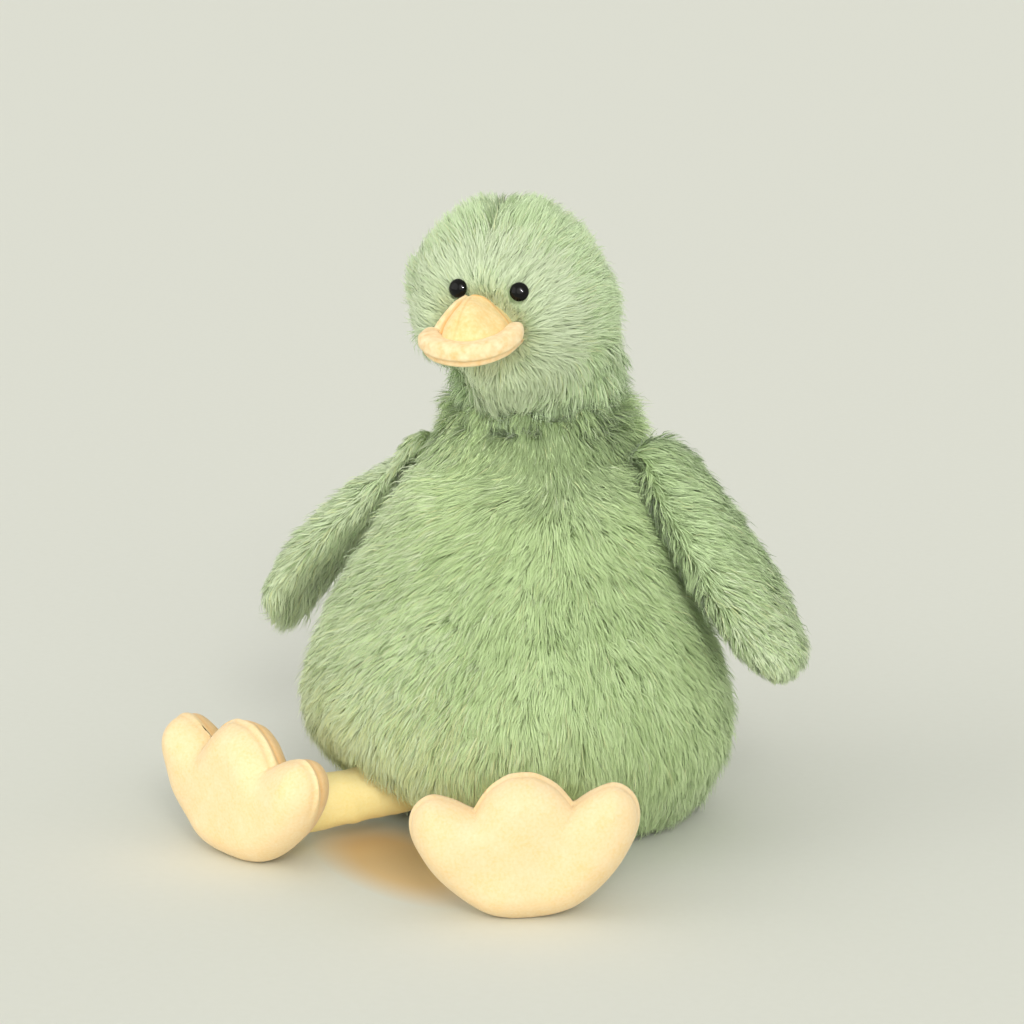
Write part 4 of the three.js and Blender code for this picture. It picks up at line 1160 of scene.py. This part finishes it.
def foot_points(sign):
    """The points of a foot in its own frame, and how much of the orange seam colour shows at each"""
    row, column = np.meshgrid(np.arange(2 * FOOT_ROWS + 1), np.arange(FOOT_COLUMNS), indexing="ij")
    share = np.sin(np.minimum(row, 2 * FOOT_ROWS - row) / FOOT_ROWS * math.pi / 2).ravel()
    front = np.where(row < FOOT_ROWS, 1, -1).ravel()
    flat = foot_ring((math.pi / 2 - column / FOOT_COLUMNS * 2 * math.pi).ravel(), sign, share)
    depth = distance_to_line(flat, foot_ring(np.linspace(0, 2 * math.pi, EDGE_STEPS + 1), sign))
    depth[share > ON_EDGE] = 0
    thickness = FOOT_HALF_THICKNESS * (EDGE_SHARE * swell(depth, EDGE_ROUNDING)
                                       + CROWN_SHARE * swell(depth, CROWN_ROUNDING))
    near_edge = hump(depth, 0, SEAM_REACH) * ramp(flat[:, 1], -8, 14)
    ridge = hump(thickness, 0, 1.1) * SEAM_RIDGE - hump(thickness, 2.6, 1) * SEAM_GROOVE
    flat += unit(flat) * (ridge * near_edge)[:, None]
    height = front * thickness
    # painted shade behind the seam's ridge and in its groove
    seam = (hump(height, -2.4, 0.9) * BEHIND_RIDGE_SHADE + hump(height, 2.6, 0.7) * GROOVE_SHADE) * near_edge
    seam += np.where(front < 0, ramp(thickness, 1, 4), 0) * BACK_DEEPER
    return np.stack([flat[:, 0], -FOOT_REACH - height, FOOT_CENTRE + flat[:, 1]], 1), np.clip(seam, 0, 1)


def ring_faces(rows, columns):
    """Faces of a closed form laid out in rings. Its first and last ring are points."""
    row, column = np.meshgrid(np.arange(rows), np.arange(columns), indexing="ij")
    after = (column + 1) % columns
    faces = np.stack([row * columns + column, (row + 1) * columns + column,
                      (row + 1) * columns + after, row * columns + after], 2)
    return faces.reshape(-1, 4)


def ringed(name, points, rows, columns, place, material, seam=None):
    """A closed form of rings. seam says how much of the orange seam colour shows at each point."""
    piece = mesh_object(name, placed(points, place), ring_faces(rows, columns))
    layer = piece.data.attributes.new("seam", "FLOAT", "POINT")
    layer.data.foreach_set("value", np.zeros(len(points)) if seam is None else seam)
    apply_modifier(piece, "WELD", merge_threshold=WELD_DISTANCE)
    choose(piece)
    bpy.ops.object.mode_set(mode="EDIT")
    bpy.ops.mesh.select_all(action="SELECT")
    bpy.ops.mesh.normals_make_consistent(inside=False)
    bpy.ops.object.mode_set(mode="OBJECT")
    bpy.ops.object.shade_smooth()
    piece.data.materials.append(material)
    print(name, len(piece.data.polygons), "faces")
    return piece


for side, sign in SIGN.items():
    foot = side + "_foot"
    place = frames[foot]
    points, seam = foot_points(sign)
    uneven = wander(points * MM, FOOT_UNEVEN_LENGTH, FOOT_SEED + sign, 1)[:, 0] * FOOT_UNEVEN
    points[:, 1] += uneven * np.sign(points[:, 1] + FOOT_REACH)
    points[:, 2] = np.maximum(points[:, 2], 0) - place.translation.z / MM
    distance = np.hypot(points[:, 0], points[:, 2])
    room = np.sqrt(np.maximum(ANKLE_ROOM ** 2 - distance ** 2, 0))
    inside = (distance < ANKLE_ROOM) & (points[:, 1] > -FOOT_REACH)
    points[:, 1] = np.where(inside, np.minimum(points[:, 1], -room), points[:, 1])
    piece = ringed(foot, points, 2 * FOOT_ROWS, FOOT_COLUMNS, place, foot_velvet, seam)
    rides(piece, foot, "velvet", foot + "_sole_panel", foot + "_upper_panel", foot + "_stuffing", fill=0.85)

# %% [markdown]
# The legs are short stuffed tubes of the same velvet. They wrinkle where they are gathered at
# the hip and where they meet the foot, so their rings swell and shrink a little. The gathered
# end itself is a skin over the model's form, because it stays hidden under the belly.
# %% Legs
LEG_LENGTH, LEG_COLUMNS, LEG_ROWS = 38, 72, 64
HIP_BALL, LEG_RADIUS, ANKLE_NECK, ANKLE_BALL = 11.5, 12, 11, 11.6
LEG_PROFILE = ([0, 0.2, 0.42, 0.64, 0.84, 1],
               [HIP_BALL, HIP_BALL, LEG_RADIUS, LEG_RADIUS, ANKLE_NECK, ANKLE_BALL])
LEG_ROOT, LEG_ROOT_DROP = 25, 7  # how far the folded end reaches in under the belly, and down
CREASE_LENGTH, CREASE_SHAPE = 12, [0.5, 2.2, 0.5]  # creases run round the leg
HIP_CREASE, ANKLE_CREASE = 0.12, 0.2
LEG_UNEVEN, LEG_UNEVEN_LENGTH, LEG_SEED = 0.35, 18, 90


def leg_points(seed):
    along = np.linspace(LEG_ROOT, -LEG_LENGTH - ANKLE_BALL, LEG_ROWS + 1)
    radius = np.interp(np.clip(-along / LEG_LENGTH, 0, 1), *LEG_PROFILE)
    beyond = np.maximum(along, 0) * HIP_BALL / LEG_ROOT + np.maximum(-LEG_LENGTH - along, 0)
    radius = np.sqrt(np.maximum(radius ** 2 - beyond ** 2, 0))
    fold = np.maximum(along, 0) / LEG_ROOT
    angle = np.arange(LEG_COLUMNS) / LEG_COLUMNS * 2 * math.pi
    radius, angle = np.meshgrid(radius, angle, indexing="ij")
    points = np.stack([radius * np.sin(angle), np.repeat(along[:, None], LEG_COLUMNS, 1),
                       radius * np.cos(angle) - LEG_ROOT_DROP * fold[:, None] ** 2], 2).reshape(-1, 3)
    outward = unit(points * [1, 0, 1])
    shares = np.clip(-points[:, 1] / LEG_LENGTH, 0, 1)
    creases = wander(points * CREASE_SHAPE * MM, CREASE_LENGTH, seed + 1, 1)[:, 0]
    creased = creases * (HIP_CREASE * (1 - ramp(shares, 0.1, 0.4)) + ANKLE_CREASE * ramp(shares, 0.75, 0.95))
    uneven = wander(points * MM, LEG_UNEVEN_LENGTH, seed, 1)[:, 0] * LEG_UNEVEN
    return points + outward * (creased + uneven)[:, None]


for side, sign in SIGN.items():
    leg = side + "_leg"
    piece = ringed(leg, leg_points(LEG_SEED + sign), LEG_ROWS, LEG_COLUMNS, frames[leg], leg_velvet_painted_light)
    rides(piece, leg, "velvet", leg + "_cover", leg + "_stuffing", fill=0.8)
    gather = skin_of(side + "_leg_gather", [side + "_hip_gather"], voxel=0.8, draw_in=0, smoothing=3)
    gather.data.materials.append(leg_velvet_painted_light)
    rides(gather, side + "_hip", "velvet", side + "_hip_gather", fill=0.3)

# %% [markdown]
# The beak has a small padded dome above and a thick soft roll that runs round it below. The
# dome is part of an oval ball, fuller on its near side. A sewn crease runs down its far side
# and a short dart down its middle, and its edge stands up a little where it meets the face.
# %% Beak dome
DOME = {"half": np.array([14.4, 22, 16]), "middle": np.array([-2.2, 2, -1]), "rim": -3}
DOME_ROWS, DOME_COLUMNS, DOME_SEED = 96, 192, 97
NEAR_FULL, NEAR_TAPER, FAR_TAPER = 1.22, 0.5, 0.3
CREASE_LINE = ([0, 0.35, 0.75, 1], [-13.4, -12, -8, -4])  # where the crease runs at each height
CREASE_DEPTH, DART_DEPTH, EDGE_RISE, DOME_UNEVEN = 1.2, 0.25, 0.5, 0.3
DART_SHADE, EDGE_SHADE, RIM_SHADE = 0.35, 0.7, 0.6


def oval_ball(half, rows, columns):
    polar, around = np.meshgrid(np.linspace(0, math.pi, rows + 1),
                                np.arange(columns) / columns * 2 * math.pi, indexing="ij")
    ball = np.stack([np.sin(polar) * np.sin(around), np.sin(polar) * np.cos(around), np.cos(polar)], 2)
    return (ball * half).reshape(-1, 3)


dome = oval_ball(DOME["half"], DOME_ROWS, DOME_COLUMNS) + DOME["middle"]
height = np.clip((dome[:, 2] - DOME["middle"][2]) / DOME["half"][2], 0, 1)
across = dome[:, 0] - DOME["middle"][0]
width = np.where(across > 0, NEAR_FULL - NEAR_TAPER * height, 1 - FAR_TAPER * height)
dome[:, 0] = DOME["middle"][0] + across * width
above_rim = dome[:, 2] > DOME["rim"]
shows = (dome[:, 1] < 0) & above_rim
crease = hump(dome[:, 0], np.interp(height, *CREASE_LINE), 0.75) * (1 - ramp(height, 0.85, 1)) * shows
dart = hump(dome[:, 0] + 3 * (0.6 - height), -3.4, 0.6) * shows * ramp(height, 0.1, 0.4)
edge = hump(dome[:, 1] + 3 * (1 - height), 3, 1.1) * above_rim * ramp(dome[:, 0], -4, -2)
raised = EDGE_RISE * edge - CREASE_DEPTH * crease - DART_DEPTH * dart
dome += unit(dome - DOME["middle"]) * raised[:, None]
dome[:, 2] = np.maximum(dome[:, 2], DOME["rim"])
dome[:, 2] += wander(dome * MM, 12, DOME_SEED, 1)[:, 0] * DOME_UNEVEN * (dome[:, 2] > DOME["rim"])
rim = ramp(-dome[:, 2], -1.5, 1.5)
# painted shade in orange: the crease, the dart, the raised edge and the rim where the dome meets the roll
seam = np.clip(crease + DART_SHADE * dart + EDGE_SHADE * edge + RIM_SHADE * rim, 0, 1)
piece = ringed("beak_dome", dome, DOME_ROWS, DOME_COLUMNS, frames["beak"], beak_velvet, seam)
rides(piece, "head", "beak_velvet", "beak_upper_cover", "beak_stuffing", fill=0.8)

# %% [markdown]
# The under cover closes the beak below with a flat oval. The roll is a tube along part of an
# oval: blunt at its far end, slimmer towards the near one, and a little square in section, with
# a sewn edge and a groove along its underside.
# %% Beak under cover and lip
UNDER = {"half": np.array([18, 21, 5]), "middle": np.array([0, 0, -3.3])}
UNDER_ROWS, UNDER_COLUMNS, UNDER_GAP = 32, 96, 0.3
LIP_RADIUS, LIP_HALF_WIDTH, LIP_REACH, LIP_DROP, LIP_LIFT = 5.8, 18.6, 20.4, -4.3, 3.6
LIP_ROOT_REACH, LIP_TURN = -4, 209
LIP_FAR_RISE, LIP_NEAR_RISE = 1.2, 3.6
LIP_BLUNT, LIP_TAPER, LIP_TAPER_POWER, LIP_END_POWER, LIP_END_ROUND = 0.22, 0.38, 2.2, 9, 0.55
LIP_SQUARE, LIP_FLAT = 2.7, 0.8
LIP_WELT, WELT_WIDTH, WELT_RISE = 1.12, 0.03, 0.9  # the sewn edge: its angle round the roll first
GROOVE_TURN, GROOVE_WIDTH, GROOVE_DEPTH, LIP_GROOVE_SHADE = 0.36, 0.02, 0.7, 0.45
LIP_UNEVEN, LIP_NEAR_PULL, LIP_SEED = 0.2, 2.2, 99
LIP_ROWS, LIP_COLUMNS = 160, 48


def lip_line(share):
    """The middle of the roll, from its far end to its near one"""
    angle = np.radians((share - 0.5) * LIP_TURN)
    reach = LIP_ROOT_REACH - (LIP_REACH + LIP_ROOT_REACH) * np.cos(angle)
    corner = LIP_FAR_RISE * ramp(-share, -0.12, 0) + LIP_NEAR_RISE * ramp(share, 0.74, 1)
    height = LIP_DROP + LIP_LIFT * np.sin(angle) ** 2 + corner
    return np.stack([LIP_HALF_WIDTH * np.sin(angle), reach, height], -1)


def tube(line, ahead, sky, rings, columns, flat=1):
    """Points of a tube along a line. rings gives its radius at every row and column."""
    out = unit(np.cross(ahead, sky))
    over = np.cross(out, ahead)
    around = np.arange(columns) / columns * 2 * math.pi
    return (line[:, None] + out[:, None] * rings * np.cos(around)[None, :, None]
            + over[:, None] * rings * flat * np.sin(around)[None, :, None]).reshape(-1, 3)


under = oval_ball(UNDER["half"], UNDER_ROWS, UNDER_COLUMNS) + UNDER["middle"]
under[:, 2] = np.minimum(under[:, 2], DOME["rim"] - UNDER_GAP)
piece = ringed("beak_under", under, UNDER_ROWS, UNDER_COLUMNS, frames["beak"], lip_velvet)
rides(piece, "head", "lip_velvet", "beak_under_cover", fill=0.6)

share = np.linspace(0, 1, LIP_ROWS + 1)
ahead = unit(lip_line(share + 0.01) - lip_line(share - 0.01))
beyond = np.clip(share * 2 - 1, 0, 1)
near_half = (1 - LIP_TAPER * beyond ** LIP_TAPER_POWER) * (1 - beyond ** LIP_END_POWER) ** LIP_END_ROUND
full = np.where(share < 0.5, np.sin(math.pi * share).clip(0) ** LIP_BLUNT, near_half)
full[[0, -1]] = 0
around = np.arange(LIP_COLUMNS) / LIP_COLUMNS * 2 * math.pi
welt = hump(np.cos(around + LIP_WELT), 1, WELT_WIDTH) * WELT_RISE
groove = hump(np.cos(around + LIP_WELT - GROOVE_TURN), 1, GROOVE_WIDTH) * GROOVE_DEPTH
section = np.abs(np.cos(around)) ** LIP_SQUARE + np.abs(np.sin(around)) ** LIP_SQUARE
section = section ** (-1 / LIP_SQUARE) + (welt - groove) / LIP_RADIUS
rings = LIP_RADIUS * full[:, None, None] * section[None, :, None]
lip = tube(lip_line(share), ahead, [0, 0, 1], rings, LIP_COLUMNS, LIP_FLAT)
away = unit(lip - np.repeat(lip_line(share), LIP_COLUMNS, 0))
lip = lip + away * wander(lip * MM, 14, LIP_SEED, 1) * LIP_UNEVEN
lip[:, 0] -= ramp(lip[:, 0], 4, 22) * LIP_NEAR_PULL
# painted shade in orange along the groove on the roll's underside
seam = np.tile(groove * LIP_GROOVE_SHADE, len(share))
piece = ringed("beak_lip", lip, LIP_ROWS, LIP_COLUMNS, frames["beak"], lip_velvet, seam)
rides(piece, "head", "lip_velvet", "beak_lip_cover", fill=0.85)

# %% [markdown]
# From the roll's far end a slim fold of the same velvet runs up beside the dome to its top. It
# is the same kind of tube, along a line of five points, and it thins out towards the top.
# %% Beak fold
FOLD_LINE = [(-17.5, -4, -3), (-16, 0, 2), (-13, 3, 7), (-9, 4.5, 11.5), (-5, 5, 14.5)]
FOLD_RADII = [2.4, 2.3, 1.9, 1.6, 0.9]
FOLD_STEPS, FOLD_COLUMNS = 12, 24

line = smooth_line(FOLD_LINE, FOLD_STEPS)
radii = np.interp(np.linspace(0, len(FOLD_RADII) - 1, len(line)), range(len(FOLD_RADII)), FOLD_RADII)
radii[[0, -1]] = 0
fold = tube(line, unit(np.gradient(line, axis=0)), [0, -1, 0], radii[:, None, None], FOLD_COLUMNS)
piece = ringed("beak_fold", fold, len(line) - 1, FOLD_COLUMNS, frames["beak"], lip_velvet)
rides(piece, "head", "lip_velvet")

# %% [markdown]
# Behind each eye a plastic washer holds it to the face. It is out of sight, and the engineering
# model already gives its true form, so it keeps that and only gets a finish: moulded plastic
# with a fine uneven tone.
# %% Eye washers
WASHER_GRAIN = 500

washer, tree, shader = new_material("washer_plastic", 0.5, {})
grained(tree, shader, WASHER_GRAIN, (222, 222, 216), (238, 238, 234))
for side in SIGN:
    materials = frame["nodes"][side + "_eye_washer"].data.materials
    materials.clear()
    materials.append(washer)
print("washers are finished in", washer.name)

# %% [markdown]
# The toy sits on a seamless pale surface. Light off the yellow velvet warms the floor between
# the feet in a soft oval. It is a round gradient on coordinates that are moved, turned and
# stretched, and as part of the floor's own colour it stays put in every view.
# %% Floor
FLOOR_HALF, FLOOR_GRAIN = 50, 240
PAPER = (220, 222, 211), (223, 225, 215)
GLOW_PLACE = (-0.012, -0.098, 0)
GLOW_SIZE = (0.03, 0.064, 1)
GLOW_TURN = math.radians(26)
GLOW_TOP, GLOW_SOFTNESS, GLOW_STRENGTH = 0.5, 0.25, 2.1
GLOW_COLOUR = (228, 198, 148)


def vector_node(tree, operation, vector, by):
    node = tree.nodes.new("ShaderNodeVectorMath")
    node.operation = operation
    tree.links.new(vector, node.inputs[0])
    node.inputs[1].default_value = by
    return node.outputs[0]


bpy.ops.mesh.primitive_plane_add(size=2 * FLOOR_HALF, location=(0, 0, 0))
floor = bpy.context.object
floor.name = "floor"
floor_paper, tree, shader = new_material("floor_paper", 0.95, {"Specular IOR Level": 0.0})
paper = mix_node(tree, noise_node(tree, FLOOR_GRAIN), *(linear(*colour) for colour in PAPER))
place = tree.nodes.new("ShaderNodeTexCoord").outputs["Object"]
turn = tree.nodes.new("ShaderNodeVectorRotate")
turn.rotation_type = "Z_AXIS"
turn.inputs["Angle"].default_value = -CAMERA_AZIMUTH - GLOW_TURN
tree.links.new(vector_node(tree, "SUBTRACT", place, GLOW_PLACE), turn.inputs["Vector"])
glow = tree.nodes.new("ShaderNodeTexGradient")
glow.gradient_type = "SPHERICAL"
tree.links.new(vector_node(tree, "DIVIDE", turn.outputs[0], GLOW_SIZE), glow.inputs["Vector"])
share = math_node(tree, "SMOOTH_MIN", glow.outputs["Fac"], GLOW_TOP, GLOW_SOFTNESS)
share = math_node(tree, "MULTIPLY", share, GLOW_STRENGTH)
share.node.use_clamp = True
tree.links.new(mix_node(tree, share, paper, linear(*GLOW_COLOUR)), shader.inputs["Base Color"])
floor.data.materials.append(floor_paper)
print("floor:", [round(v) for v in floor.dimensions], "m")

# %% [markdown]
# The light is soft and comes from all round. The camera and reflections see the backdrop's
# colour, while the toy is lit by a plain sky. Far lamps add direction: a small one near the
# camera lets shadows fall back and to the left, and wide ones in front and from the left fill
# them in. One lamp only puts bright points on the eyes, and a narrow one reaches in under the
# belly to the leg.
# %% Surroundings and lamps
SKY_LEVEL, SKY_COLOUR = 0.69, (1, 0.99, 0.97)
BACKDROP = (219, 220, 206)
LAMP_COLOUR = (1.0, 0.985, 0.955)
LAMPS = {  # strength, how wide the lamp looks in degrees, and the direction that it stands in
    "key_lamp": (0.8, 15, right * 0.14 + back + Vector((0, 0, 0.33))),
    "front_lamp": (0.86, 55, right * 0.05 + back * 0.9 + Vector((0, 0, 0.15))),
    "left_lamp": (0.85, 60, right * -0.85 + back * 0.4 + Vector((0, 0, 0.15))),
    "catch_lamp": (7, 2, right * 0.3 + back * 0.94 + Vector((0, 0, 0.08))),
}
LOW_PLACE = back * 1.5 - right * 0.12 + Vector((0, 0, -0.22))
LOW_AIM = Vector((-0.062, -0.098, 0.02))
LOW_STRENGTH, LOW_BEAM, LOW_SIZE, LOW_COLOUR = 14, math.radians(4.6), 0.05, (1.0, 0.96, 0.86)

world = bpy.data.worlds.new("surroundings")
bpy.context.scene.world = world
world.use_nodes = True
tree = world.node_tree
rays = tree.nodes.new("ShaderNodeLightPath").outputs
seen = math_node(tree, "MAXIMUM", rays["Is Camera Ray"], rays["Is Glossy Ray"])
seen = math_node(tree, "MAXIMUM", seen, rays["Is Transmission Ray"])
daylight = tuple(SKY_LEVEL * share for share in SKY_COLOUR) + (1,)
tree.links.new(mix_node(tree, seen, daylight, linear(*BACKDROP)), tree.nodes["Background"].inputs["Color"])


def lamp(name, kind, energy, colour, toward):
    """A lamp that shines from a direction"""
    light = linked(name, bpy.data.lights.new(name, kind))
    light.data.energy = energy
    light.data.color = colour
    light.rotation_euler = toward.normalized().to_track_quat("Z", "Y").to_euler()
    return light


for name, (energy, spread, toward) in LAMPS.items():
    light = lamp(name, "SUN", energy, LAMP_COLOUR, toward)
    light.data.angle = math.radians(spread)
    light.visible_diffuse = name != "catch_lamp"  # that one only puts bright points on the eyes

low_lamp = lamp("low_lamp", "SPOT", LOW_STRENGTH, LOW_COLOUR, LOW_PLACE - LOW_AIM)
low_lamp.location = LOW_PLACE
low_lamp.data.spot_size = LOW_BEAM
low_lamp.data.spot_blend = 1
low_lamp.data.shadow_soft_size = LOW_SIZE

bpy.context.scene.view_settings.view_transform = "Standard"
print("lamps:", list(LAMPS), low_lamp.name)
